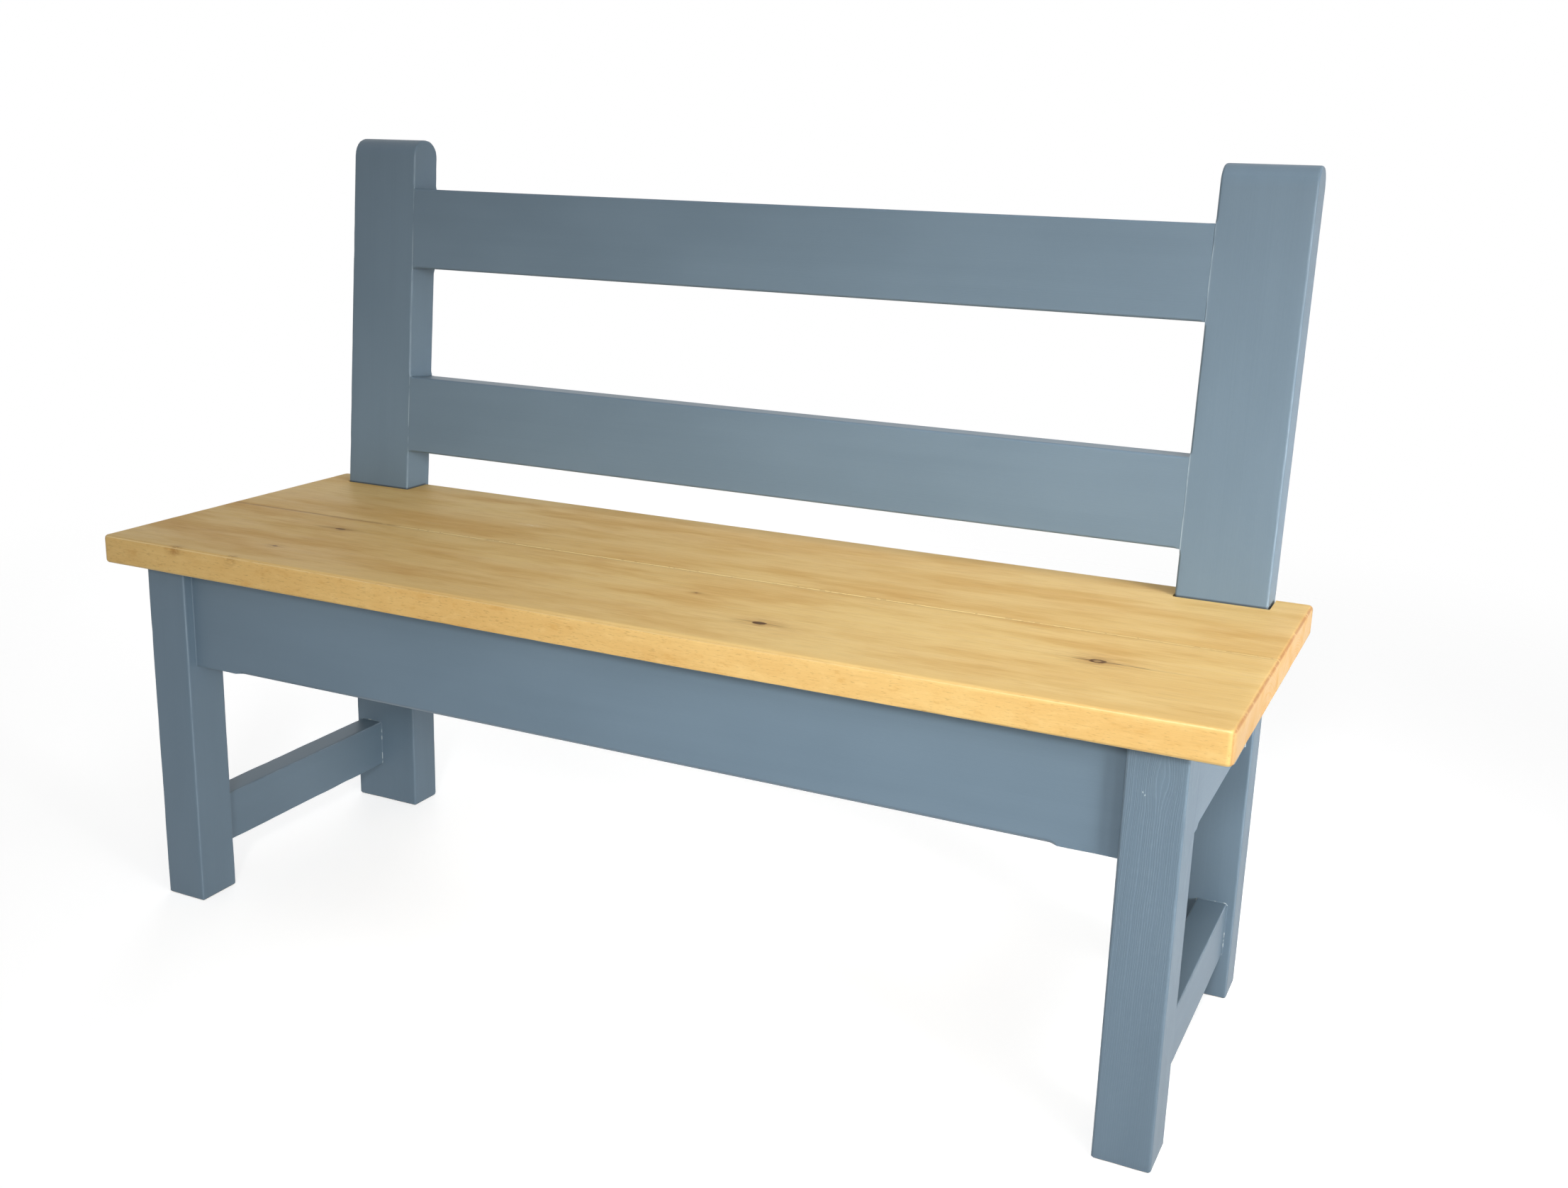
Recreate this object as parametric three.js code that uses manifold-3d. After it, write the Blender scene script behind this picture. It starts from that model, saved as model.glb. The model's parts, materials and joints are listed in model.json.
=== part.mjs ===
// A farmhouse bench: a tenoned and painted softwood frame under a waxed seat of two pine boards.
// Millimetres. X runs along the bench, Y from front to back and Z up from the floor.
import * as THREE from "three";
import { mergeVertices } from "three/addons/utils/BufferGeometryUtils.js";
import Module from "manifold-3d";

const wasm = await Module();
wasm.setup();

// Seat
const SEAT_HEIGHT = 450;
const SEAT_THICKNESS = 33;
const FRONT_BOARD_WIDTH = 223;
const SEAT_FRONT_OVERHANG = 35;
const SEAT_END_OVERHANG = 40;
const SEAT_REAR_SETBACK = 3;
const SEAT_ARRIS = 4;
const SEAT_CORNER_RADIUS = 7;
const SEAT_RUN_OUT = 10;
const SEAT_RUN_OUT_START = 130;
const SEAT_JOINT_ARRIS = 0.5;
const NOTCH_FRONT_GAP = 0.6;
const NOTCH_SIDE_GAP = 1.8;

// Legs and posts
const BASE_LENGTH = 1202;
const LEG_SIDE = 56;
const LEG_TO_POST = 306;
const POST_WIDTH = 97;
const POST_DEPTH = 48;
const POST_TOP_FLAT = 4;
const RAKE_DEGREES = 4.76;
const LEG_ARRIS = 3;
const FOOT_CHAMFER = 2;

// Aprons and stretchers
const RAIL_THICKNESS = 33;
const APRON_HEIGHT = 121.5;
const FRONT_APRON_SETBACK = 13;
const SIDE_APRON_SETBACK = 8;
const STRETCHER_SETBACK = 9;
const STRETCHER_HEIGHT = 62;
const STRETCHER_LIFT = 52;
const RAIL_ARRIS = 2;
const CHAMFER = 6.5;
const CHAMFER_LAND = 56;

// The back, measured up the rake from the bend of the posts
const LOWER_RAIL_LIFT = 67;
const LOWER_RAIL_HEIGHT = 98;
const BACK_GAP = 140;
const TOP_RAIL_HEIGHT = 100;
const HORN_RISE = 62;
const ROUTER_GUIDE_RADIUS = 6.35;

// Joinery
const TENON_THICKNESS_SHARE = 1 / 3;
const TENON_SHOULDER = 10;
const BACK_TENON_LENGTH = 50;
const REAR_APRON_TENON_LENGTH = 38;
const POST_TENON_LENGTH = 32;
const STRETCHER_TENON_LENGTH = 30;
const HAUNCH_HEIGHT = 25;
const HAUNCH_LENGTH = 10;
const MITRE_GAP = 1;
const JOINT_GAP = 0.3;

// Seat fixings
const CLEAT_SIDE = 30;
const CLEAT_ARRIS = 1.5;
const CLEAT_END_GAP = 2;
const SCREW_LENGTH = 50;
const SCREW_SHANK_RADIUS = 2;
const SCREW_HEAD_RADIUS = 4;
const SCREW_HEAD_DEPTH = 2.4;
const SCREW_POINT_LENGTH = 6;
const SCREW_TIP_RADIUS = 0.4;
const DOWEL_RADIUS = 5;
const DOWEL_LENGTH = 60;
const DOWEL_CHAMFER = 1.5;
const LONG_CLEAT_SEAT_SCREW_SHARES = [-0.84, -0.3, 0.3, 0.84];
const LONG_CLEAT_APRON_SCREW_SHARES = [-0.6, 0, 0.6];
const SIDE_CLEAT_SEAT_SCREW_SHARES = [-0.6, 0.6];
const SIDE_CLEAT_APRON_SCREW_SHARES = [-0.25, 0.25];
const DOWEL_SHARES = [-0.8, -0.4, 0, 0.4, 0.8];

// Facets, and how far a cut runs past the wood
const ARRIS_STEPS = 3;
const CORNER_STEPS = 5;
const TOP_STEPS = 7;
const ROUND_SEGMENTS = 12;
const OVERRUN = 6;
const RIM_REACH = 3 * ROUTER_GUIDE_RADIUS;

// Places worked out from the sizes above
const RAKE = THREE.MathUtils.degToRad(RAKE_DEGREES);
const SEAT_UNDERSIDE = SEAT_HEIGHT - SEAT_THICKNESS;
const SEAT_MIDDLE_Z = SEAT_HEIGHT - SEAT_THICKNESS / 2;
const SEAT_JOINT_Y = FRONT_BOARD_WIDTH - SEAT_FRONT_OVERHANG;
const OUTER_X = BASE_LENGTH / 2;
const SEAT_END_X = OUTER_X + SEAT_END_OVERHANG;
const LEG_INNER_X = OUTER_X - LEG_SIDE;
const POST_INNER_X = OUTER_X - POST_WIDTH;
const POST_FRONT_Y = LEG_SIDE + LEG_TO_POST;
const POST_MIDDLE_Y = POST_FRONT_Y + POST_DEPTH / 2;
const POST_TOP_RADIUS = (POST_DEPTH - POST_TOP_FLAT) / 2;
const SEAT_BACK_Y = POST_FRONT_Y + POST_DEPTH - SEAT_REAR_SETBACK;
const APRON_BOTTOM = SEAT_UNDERSIDE - APRON_HEIGHT;
const FRONT_APRON_BACK_Y = FRONT_APRON_SETBACK + RAIL_THICKNESS;
const FRONT_APRON_MIDDLE_Y = FRONT_APRON_BACK_Y - RAIL_THICKNESS / 2;
const SIDE_APRON_OUTER_X = OUTER_X - SIDE_APRON_SETBACK;
const SIDE_APRON_INNER_X = SIDE_APRON_OUTER_X - RAIL_THICKNESS;
const SIDE_APRON_MIDDLE_X = SIDE_APRON_OUTER_X - RAIL_THICKNESS / 2;
const REAR_APRON_FRONT_Y = POST_MIDDLE_Y - RAIL_THICKNESS / 2;
const REAR_APRON_BACK_Y = POST_MIDDLE_Y + RAIL_THICKNESS / 2;
const STRETCHER_OUTER_X = OUTER_X - STRETCHER_SETBACK;
const STRETCHER_MIDDLE_X = STRETCHER_OUTER_X - RAIL_THICKNESS / 2;
const STRETCHER_TOP = STRETCHER_LIFT + STRETCHER_HEIGHT;
const LOWER_RAIL_TOP = LOWER_RAIL_LIFT + LOWER_RAIL_HEIGHT;
const TOP_RAIL_BOTTOM = LOWER_RAIL_TOP + BACK_GAP;
const TOP_RAIL_TOP = TOP_RAIL_BOTTOM + TOP_RAIL_HEIGHT;
const POST_RISE = TOP_RAIL_TOP + HORN_RISE;
const RAIL_TENON_HALF = (RAIL_THICKNESS * TENON_THICKNESS_SHARE) / 2;
const BACK_TENON_HALF = (POST_DEPTH * TENON_THICKNESS_SHARE) / 2;
const APRON_TENON_LOW = APRON_BOTTOM + TENON_SHOULDER;
const APRON_TENON_HIGH = SEAT_UNDERSIDE - HAUNCH_HEIGHT;
const STRETCHER_TENON_LOW = STRETCHER_LIFT + TENON_SHOULDER;
const STRETCHER_TENON_HIGH = STRETCHER_TOP - TENON_SHOULDER;
const CLEAT_MIDDLE_Z = SEAT_UNDERSIDE - CLEAT_SIDE / 2;

// The posts' round tops are centred this high up the rake, and reach furthest back at that height.
const TOP_ARC_RISE = POST_RISE - POST_TOP_RADIUS;
const BACK_REACH = TOP_ARC_RISE * Math.sin(RAKE) + POST_DEPTH * Math.cos(RAKE);
const MIDDLE_Y = (POST_FRONT_Y + BACK_REACH - SEAT_FRONT_OVERHANG) / 2;

const paint = new THREE.MeshStandardMaterial({ color: 0x6f8494, roughness: 0.45, metalness: 0 });
const pine = new THREE.MeshStandardMaterial({ color: 0xd2ac6c, roughness: 0.5, metalness: 0 });
const rawPine = new THREE.MeshStandardMaterial({ color: 0xd9bd8a, roughness: 0.7, metalness: 0 });
const steel = new THREE.MeshStandardMaterial({ color: 0xb9b6a8, roughness: 0.35, metalness: 1 });

// The back has its own frame, tipped back about the bend of the posts.
const bench = new THREE.Group();
bench.position.y = -MIDDLE_Y;
const back = new THREE.Group();
back.position.set(0, POST_FRONT_Y, SEAT_MIDDLE_Z);
back.rotation.x = -RAKE;
back.updateMatrix();
bench.add(back);
const benchToBack = back.matrix.clone().invert();

function point(x, y) {
  return new THREE.Vector2(x, y);
}

function arc(x, y, radius, from, to, steps) {
  return Array.from({ length: steps + 1 }, (_, i) => {
    const angle = from + ((to - from) * i) / steps;
    return point(x + radius * Math.cos(angle), y + radius * Math.sin(angle));
  });
}

function roundedRectangle([x0, y0], [x1, y1], radius, steps) {
  const quarter = Math.PI / 2;
  return [
    ...arc(x0 + radius, y0 + radius, radius, 2 * quarter, 3 * quarter, steps),
    ...arc(x1 - radius, y0 + radius, radius, 3 * quarter, 4 * quarter, steps),
    ...arc(x1 - radius, y1 - radius, radius, 0, quarter, steps),
    ...arc(x0 + radius, y1 - radius, radius, quarter, 2 * quarter, steps),
  ];
}

function circle(radius) {
  return arc(0, 0, radius, 0, 2 * Math.PI, ROUND_SEGMENTS).slice(1);
}

// A closed solid through a rising stack of anticlockwise outlines with equal numbers of points.
function loft(layers) {
  const count = layers[0].outline.length;
  const positions = layers.flatMap(({ outline, at }) => outline.flatMap((p) => [p.x, p.y, at]));
  const index = [];
  const last = (layers.length - 1) * count;
  for (let low = 0; low < last; low += count) {
    for (let i = 0; i < count; i++) {
      const a = low + i;
      const b = low + ((i + 1) % count);
      index.push(a, b, b + count, a, b + count, a + count);
    }
  }
  for (const [a, b, c] of THREE.ShapeUtils.triangulateShape(layers[0].outline, [])) {
    index.push(c, b, a);
  }
  for (const [a, b, c] of THREE.ShapeUtils.triangulateShape(layers.at(-1).outline, [])) {
    index.push(last + a, last + b, last + c);
  }
  const geometry = new THREE.BufferGeometry();
  geometry.setAttribute("position", new THREE.Float32BufferAttribute(positions, 3));
  geometry.setIndex(index);
  geometry.computeVertexNormals();
  return geometry;
}

function prism(outline, low, high) {
  return loft([{ at: low, outline }, { at: high, outline }]);
}

// Turns a stack so that it rises along X, with its outlines in Y and Z.
function alongX(geometry) {
  const turn = new THREE.Matrix4().set(0, 0, 1, 0, 1, 0, 0, 0, 0, 1, 0, 0, 0, 0, 0, 1);
  return geometry.applyMatrix4(turn);
}

// Turns a stack so that it rises along Y, with its outlines in Z and X.
function alongY(geometry) {
  return alongX(alongX(geometry));
}

// A round solid that rises along Z, with its radius at each height.
function turned(profile) {
  return loft(profile.map(([at, radius]) => ({ at, outline: circle(radius) })));
}

function box([x0, y0, z0], [x1, y1, z1]) {
  const geometry = new THREE.BoxGeometry(x1 - x0, y1 - y0, z1 - z0);
  return geometry.translate((x0 + x1) / 2, (y0 + y1) / 2, (z0 + z1) / 2);
}

// The same piece for the other end of the bench, with its triangles turned the right way out again.
function mirrored(geometry) {
  const copy = (geometry.index ? geometry.toNonIndexed() : geometry.clone()).scale(-1, 1, 1);
  const reversed = Array.from({ length: copy.attributes.position.count }, (_, i) => i).reverse();
  copy.setIndex(reversed);
  const mirror = copy.toNonIndexed();
  mirror.computeVertexNormals();
  return mirror;
}

function solid(geometry) {
  const bare = geometry.clone();
  bare.deleteAttribute("normal");
  bare.deleteAttribute("uv");
  const merged = mergeVertices(bare);
  const vertProperties = new Float32Array(merged.attributes.position.array);
  const triVerts = new Uint32Array(merged.index.array);
  return new wasm.Manifold(new wasm.Mesh({ numProp: 3, vertProperties, triVerts }));
}

function geometryOf(manifold) {
  const { numProp, vertProperties, triVerts } = manifold.getMesh();
  const corners = new THREE.InterleavedBuffer(vertProperties, numProp);
  const indexed = new THREE.BufferGeometry();
  indexed.setAttribute("position", new THREE.InterleavedBufferAttribute(corners, 3, 0));
  indexed.setIndex(Array.from(triVerts));
  const geometry = indexed.toNonIndexed();
  geometry.computeVertexNormals();
  return geometry;
}

// One piece of wood: solids joined together, then others cut away.
function carved(joined, cuts) {
  let body = solid(joined[0]);
  for (const extra of joined.slice(1)) {
    body = body.add(solid(extra));
  }
  for (const cut of cuts) {
    body = body.subtract(solid(cut));
  }
  return geometryOf(body);
}

// The steps of a quarter-round arris: depth below the face, and how far the outline draws in there.
function arrisSteps(radius) {
  return Array.from({ length: ARRIS_STEPS + 1 }, (_, i) => {
    const angle = ((Math.PI / 2) * i) / ARRIS_STEPS;
    return { depth: radius * (1 - Math.cos(angle)), inset: radius * (1 - Math.sin(angle)) };
  });
}

// A stack whose low and high faces have quarter-round arrises.
function easedStack(low, high, radius, outlineAt) {
  const bottom = arrisSteps(radius).map((step) => ({ at: low + step.depth, outline: outlineAt(step) }));
  const top = arrisSteps(radius).map((step) => ({ at: high - step.depth, outline: outlineAt(step) }));
  return loft([...bottom, ...top.reverse()]);
}

const ROUND_OVER = arrisSteps(LEG_ARRIS).map(({ depth, inset }) => ({ depth, spread: inset }));
const BEVEL = [{ depth: 0, spread: CHAMFER }, { depth: CHAMFER, spread: 0 }];

// What a router bit takes when its guide bearing runs round an opening in a face that looks to -Y.
// The cutter gives the spread of the cut past the bearing at each depth below the face.
function routedRim([x0, z0], [x1, z1], cutter) {
  const layer = (depth, spread) => ({
    at: depth,
    outline: roundedRectangle(
      [z0 - spread, x0 - spread],
      [z1 + spread, x1 + spread],
      ROUTER_GUIDE_RADIUS + spread,
      CORNER_STEPS,
    ),
  });
  const outside = layer(-OVERRUN, cutter[0].spread);
  return alongY(loft([outside, ...cutter.map(({ depth, spread }) => layer(depth, spread))]));
}

// A stopped chamfer on the lower arris of an apron face, leaving a square land at each end.
function stoppedChamfer(from, to) {
  const reach = ROUTER_GUIDE_RADIUS + CHAMFER;
  const runOut = Math.sqrt(reach ** 2 - ROUTER_GUIDE_RADIUS ** 2) - ROUTER_GUIDE_RADIUS;
  const stop = CHAMFER_LAND + runOut;
  return routedRim([from + stop, APRON_BOTTOM - 2 * reach], [to - stop, APRON_BOTTOM], BEVEL);
}

// The eased rims of one opening in the back, on the front and rear faces.
function backRims(low, high) {
  const front = routedRim([-POST_INNER_X, low], [POST_INNER_X, high], ROUND_OVER);
  const rear = front.clone().rotateZ(Math.PI).translate(0, POST_DEPTH, 0);
  return [front, rear];
}

function rimsAbove(height) {
  return backRims(height, height + RIM_REACH);
}

function rimsBelow(height) {
  return backRims(height - RIM_REACH, height);
}

// A post seen from its end, in the frame of the back: straight up above the bend, turned below it.
function postOutline({ inset }) {
  const bend = Math.tan(RAKE / 2);
  const front = inset;
  const rear = POST_DEPTH - inset;
  const radius = POST_TOP_RADIUS - inset;
  const foot = (y, z) => {
    const drop = SEAT_MIDDLE_Z - z;
    return point(y * Math.cos(RAKE) + drop * Math.sin(RAKE), y * Math.sin(RAKE) - drop * Math.cos(RAKE));
  };
  return [
    foot(front, inset + FOOT_CHAMFER),
    foot(front + FOOT_CHAMFER, inset),
    foot(rear - FOOT_CHAMFER, inset),
    foot(rear, inset + FOOT_CHAMFER),
    point(rear, rear * bend),
    ...arc(POST_DEPTH - POST_TOP_RADIUS, TOP_ARC_RISE, radius, 0, Math.PI / 2, TOP_STEPS),
    ...arc(POST_TOP_RADIUS, TOP_ARC_RISE, radius, Math.PI / 2, Math.PI, TOP_STEPS),
    point(front, front * bend),
  ];
}

// Beside a back rail the post's inner arris is left square, and the routed rims turn round its ends.
function squareLand(low, high) {
  const land = box(
    [POST_INNER_X, 0, low - ROUTER_GUIDE_RADIUS],
    [POST_INNER_X + LEG_ARRIS + OVERRUN, POST_DEPTH, high + ROUTER_GUIDE_RADIUS],
  );
  return carved([land], [...rimsBelow(low), ...rimsAbove(high)]);
}

// A back rail's right-hand tenon or, with a gap all round, its mortise.
function backTenon(low, high, gap) {
  const end = POST_INNER_X + BACK_TENON_LENGTH + gap;
  return box(
    [POST_INNER_X - OVERRUN, POST_DEPTH / 2 - BACK_TENON_HALF - gap, low + TENON_SHOULDER - gap],
    [end, POST_DEPTH / 2 + BACK_TENON_HALF + gap, high - TENON_SHOULDER + gap],
  );
}

// A tenon that runs back into a post or, with a gap all round, its mortise.
function postTenon(middleX, low, high, gap) {
  return box(
    [middleX - RAIL_TENON_HALF - gap, POST_FRONT_Y - OVERRUN, low - gap],
    [middleX + RAIL_TENON_HALF + gap, POST_FRONT_Y + POST_TENON_LENGTH + gap, high + gap],
  );
}

// The rear apron's right-hand tenon or, with a gap all round, its mortise.
function rearApronTenon(gap) {
  const end = POST_INNER_X + REAR_APRON_TENON_LENGTH + gap;
  return box(
    [POST_INNER_X - OVERRUN, POST_MIDDLE_Y - RAIL_TENON_HALF - gap, APRON_TENON_LOW - gap],
    [end, POST_MIDDLE_Y + RAIL_TENON_HALF + gap, APRON_TENON_HIGH + gap],
  );
}

// The stretcher's front tenon or, with a gap all round, its mortise.
function stretcherFrontTenon(gap) {
  const end = LEG_SIDE - STRETCHER_TENON_LENGTH - gap;
  return box(
    [STRETCHER_MIDDLE_X - RAIL_TENON_HALF - gap, end, STRETCHER_TENON_LOW - gap],
    [STRETCHER_MIDDLE_X + RAIL_TENON_HALF + gap, LEG_SIDE + OVERRUN, STRETCHER_TENON_HIGH + gap],
  );
}

function rightPost() {
  const shaft = alongX(easedStack(POST_INNER_X, OUTER_X, LEG_ARRIS, postOutline));
  const topLand = squareLand(TOP_RAIL_BOTTOM, TOP_RAIL_TOP);
  const lowerLand = squareLand(LOWER_RAIL_LIFT, LOWER_RAIL_TOP);
  const baseMortises = [
    postTenon(SIDE_APRON_MIDDLE_X, APRON_TENON_LOW, APRON_TENON_HIGH, JOINT_GAP),
    postTenon(STRETCHER_MIDDLE_X, STRETCHER_TENON_LOW, STRETCHER_TENON_HIGH, JOINT_GAP),
    rearApronTenon(JOINT_GAP),
  ];
  return carved([shaft, topLand, lowerLand], [
    backTenon(TOP_RAIL_BOTTOM, TOP_RAIL_TOP, JOINT_GAP),
    backTenon(LOWER_RAIL_LIFT, LOWER_RAIL_TOP, JOINT_GAP),
    ...baseMortises.map((mortise) => mortise.applyMatrix4(benchToBack)),
  ]);
}

// A back rail as thick as the posts, with its long arrises routed in one pass with theirs.
function backRail(low, high) {
  const bar = box([-POST_INNER_X, 0, low], [POST_INNER_X, POST_DEPTH, high]);
  const tenon = backTenon(low, high, 0);
  return carved([bar, tenon, mirrored(tenon)], [...rimsBelow(low), ...rimsAbove(high)]);
}

// The right-hand front leg, mortised for two haunched apron tenons that meet inside it.
function rightFrontLeg() {
  const section = (inset) =>
    roundedRectangle(
      [LEG_INNER_X + inset, inset],
      [OUTER_X - inset, LEG_SIDE - inset],
      LEG_ARRIS - inset,
      ARRIS_STEPS,
    );
  const shaft = loft([
    { at: 0, outline: section(FOOT_CHAMFER) },
    { at: FOOT_CHAMFER, outline: section(0) },
    { at: SEAT_UNDERSIDE, outline: section(0) },
  ]);
  const cheek = RAIL_TENON_HALF + JOINT_GAP;
  const haunch = HAUNCH_LENGTH + JOINT_GAP;
  const floor = APRON_TENON_LOW - JOINT_GAP;
  const ceiling = APRON_TENON_HIGH + JOINT_GAP;
  const open = SEAT_UNDERSIDE + OVERRUN;
  const [x0, x1] = [SIDE_APRON_MIDDLE_X - cheek, SIDE_APRON_MIDDLE_X + cheek];
  const [y0, y1] = [FRONT_APRON_MIDDLE_Y - cheek, FRONT_APRON_MIDDLE_Y + cheek];
  return carved([shaft], [
    box([LEG_INNER_X - OVERRUN, y0, floor], [x1, y1, ceiling]),
    box([LEG_INNER_X - OVERRUN, y0, floor], [LEG_INNER_X + haunch, y1, open]),
    box([x0, y0, floor], [x1, LEG_SIDE + OVERRUN, ceiling]),
    box([x0, LEG_SIDE - haunch, floor], [x1, LEG_SIDE + OVERRUN, open]),
    stretcherFrontTenon(JOINT_GAP),
  ]);
}

// A tenon with a mitred end and a haunch up to the seat, from its plan corners and haunch corners.
function haunchedTenon(plan, haunchLow, haunchHigh) {
  const outline = plan.map(([x, y]) => point(x, y));
  return [
    prism(outline, APRON_TENON_LOW, APRON_TENON_HIGH),
    box([...haunchLow, APRON_TENON_LOW], [...haunchHigh, SEAT_UNDERSIDE]),
  ];
}

function frontApron() {
  const section = roundedRectangle(
    [FRONT_APRON_SETBACK, APRON_BOTTOM],
    [FRONT_APRON_BACK_Y, SEAT_UNDERSIDE],
    RAIL_ARRIS,
    ARRIS_STEPS,
  );
  const bar = alongX(prism(section, -LEG_INNER_X, LEG_INNER_X));
  const start = LEG_INNER_X - OVERRUN;
  const mitre = SIDE_APRON_MIDDLE_X - MITRE_GAP;
  const [y0, y1] = [FRONT_APRON_MIDDLE_Y - RAIL_TENON_HALF, FRONT_APRON_MIDDLE_Y + RAIL_TENON_HALF];
  const plan = [[start, y0], [mitre + RAIL_TENON_HALF, y0], [mitre - RAIL_TENON_HALF, y1], [start, y1]];
  const tenon = haunchedTenon(plan, [start, y0], [LEG_INNER_X + HAUNCH_LENGTH, y1]);
  const chamfer = stoppedChamfer(-LEG_INNER_X, LEG_INNER_X).translate(0, FRONT_APRON_SETBACK, 0);
  return carved([bar, ...tenon, ...tenon.map(mirrored)], [chamfer]);
}

function rightSideApron() {
  const section = roundedRectangle(
    [APRON_BOTTOM, SIDE_APRON_INNER_X],
    [SEAT_UNDERSIDE, SIDE_APRON_OUTER_X],
    RAIL_ARRIS,
    ARRIS_STEPS,
  );
  const bar = alongY(prism(section, LEG_SIDE, POST_FRONT_Y));
  const start = LEG_SIDE + OVERRUN;
  const mitre = FRONT_APRON_MIDDLE_Y + MITRE_GAP;
  const [x0, x1] = [SIDE_APRON_MIDDLE_X - RAIL_TENON_HALF, SIDE_APRON_MIDDLE_X + RAIL_TENON_HALF];
  const plan = [[x0, mitre + RAIL_TENON_HALF], [x1, mitre - RAIL_TENON_HALF], [x1, start], [x0, start]];
  const frontTenon = haunchedTenon(plan, [x0, LEG_SIDE - HAUNCH_LENGTH], [x1, start]);
  const rearTenon = postTenon(SIDE_APRON_MIDDLE_X, APRON_TENON_LOW, APRON_TENON_HIGH, 0);
  const chamfer = stoppedChamfer(LEG_SIDE, POST_FRONT_Y)
    .rotateZ(Math.PI / 2)
    .translate(SIDE_APRON_OUTER_X, 0, 0);
  return carved([bar, ...frontTenon, rearTenon], [chamfer]);
}

function rearApron() {
  const section = roundedRectangle(
    [REAR_APRON_FRONT_Y, APRON_BOTTOM],
    [REAR_APRON_BACK_Y, SEAT_UNDERSIDE],
    RAIL_ARRIS,
    ARRIS_STEPS,
  );
  const bar = alongX(prism(section, -POST_INNER_X, POST_INNER_X));
  const tenon = rearApronTenon(0);
  return carved([bar, tenon, mirrored(tenon)], []);
}

function rightStretcher() {
  const section = roundedRectangle(
    [STRETCHER_LIFT, STRETCHER_OUTER_X - RAIL_THICKNESS],
    [STRETCHER_TOP, STRETCHER_OUTER_X],
    RAIL_ARRIS,
    ARRIS_STEPS,
  );
  const bar = alongY(prism(section, LEG_SIDE, POST_FRONT_Y));
  const rearTenon = postTenon(STRETCHER_MIDDLE_X, STRETCHER_TENON_LOW, STRETCHER_TENON_HIGH, 0);
  return carved([bar, stretcherFrontTenon(0), rearTenon], []);
}

// The boards' meeting edge is only just eased, however far the other arrises draw in.
function jointInset(depth) {
  return Math.max(0, SEAT_JOINT_ARRIS - depth);
}

// The front edge is straight from the right-hand end, then runs back a little towards the left.
function frontBoardOutline({ depth, inset }) {
  const radius = SEAT_CORNER_RADIUS - inset;
  const joint = SEAT_JOINT_Y - jointInset(depth);
  const cornerX = SEAT_END_X - SEAT_CORNER_RADIUS;
  const cornerY = SEAT_CORNER_RADIUS - SEAT_FRONT_OVERHANG;
  return [
    ...arc(-cornerX, cornerY + SEAT_RUN_OUT, radius, Math.PI, 1.5 * Math.PI, CORNER_STEPS),
    point(SEAT_RUN_OUT_START, inset - SEAT_FRONT_OVERHANG),
    ...arc(cornerX, cornerY, radius, 1.5 * Math.PI, 2 * Math.PI, CORNER_STEPS),
    point(SEAT_END_X - inset, joint),
    point(inset - SEAT_END_X, joint),
  ];
}

// The rear board is notched round the posts, with crisp edges to the saw cuts.
function rearBoardOutline({ depth, inset }) {
  const radius = SEAT_CORNER_RADIUS - inset;
  const joint = SEAT_JOINT_Y + jointInset(depth);
  const cornerX = SEAT_END_X - SEAT_CORNER_RADIUS;
  const cornerY = SEAT_BACK_Y - SEAT_CORNER_RADIUS;
  const edge = SEAT_BACK_Y - inset;
  const notchFront = POST_FRONT_Y - NOTCH_FRONT_GAP;
  const notchInner = POST_INNER_X - NOTCH_SIDE_GAP;
  const notchOuter = OUTER_X + NOTCH_SIDE_GAP;
  return [
    point(inset - SEAT_END_X, joint),
    point(SEAT_END_X - inset, joint),
    ...arc(cornerX, cornerY, radius, 0, Math.PI / 2, CORNER_STEPS),
    point(notchOuter, edge),
    point(notchOuter, notchFront),
    point(notchInner, notchFront),
    point(notchInner, edge),
    point(-notchInner, edge),
    point(-notchInner, notchFront),
    point(-notchOuter, notchFront),
    point(-notchOuter, edge),
    ...arc(-cornerX, cornerY, radius, Math.PI / 2, Math.PI, CORNER_STEPS),
  ];
}

function seatBoard(outlineAt, cuts) {
  return carved([easedStack(SEAT_UNDERSIDE, SEAT_HEIGHT, SEAT_ARRIS, outlineAt)], cuts);
}

// A countersunk screw driven upwards from zero or, with a gap all round, the hole it sits in.
function screwShape(gap) {
  const head = SCREW_HEAD_RADIUS + gap;
  const shank = SCREW_SHANK_RADIUS + gap;
  const pointStart = SCREW_LENGTH - SCREW_POINT_LENGTH;
  const entry = gap ? [[-OVERRUN, head]] : [];
  return turned([
    ...entry,
    [0, head],
    [SCREW_HEAD_DEPTH, shank],
    [pointStart, shank],
    [SCREW_LENGTH + gap, SCREW_TIP_RADIUS + gap],
  ]);
}

// A dowel lying along Y or, with a gap all round, the blind holes for it in the two boards.
function dowelShape(gap) {
  const end = DOWEL_LENGTH / 2 + gap;
  const radius = DOWEL_RADIUS + gap;
  const profile = [
    [-end, radius - DOWEL_CHAMFER],
    [DOWEL_CHAMFER - end, radius],
    [end - DOWEL_CHAMFER, radius],
    [end, radius - DOWEL_CHAMFER],
  ];
  return alongY(turned(profile));
}

// A square cleat with eased long arrises, drawn along X and centred on zero.
function cleatBar(length) {
  const half = CLEAT_SIDE / 2;
  const section = roundedRectangle([-half, -half], [half, half], CLEAT_ARRIS, ARRIS_STEPS);
  return alongX(prism(section, -length / 2, length / 2));
}

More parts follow.
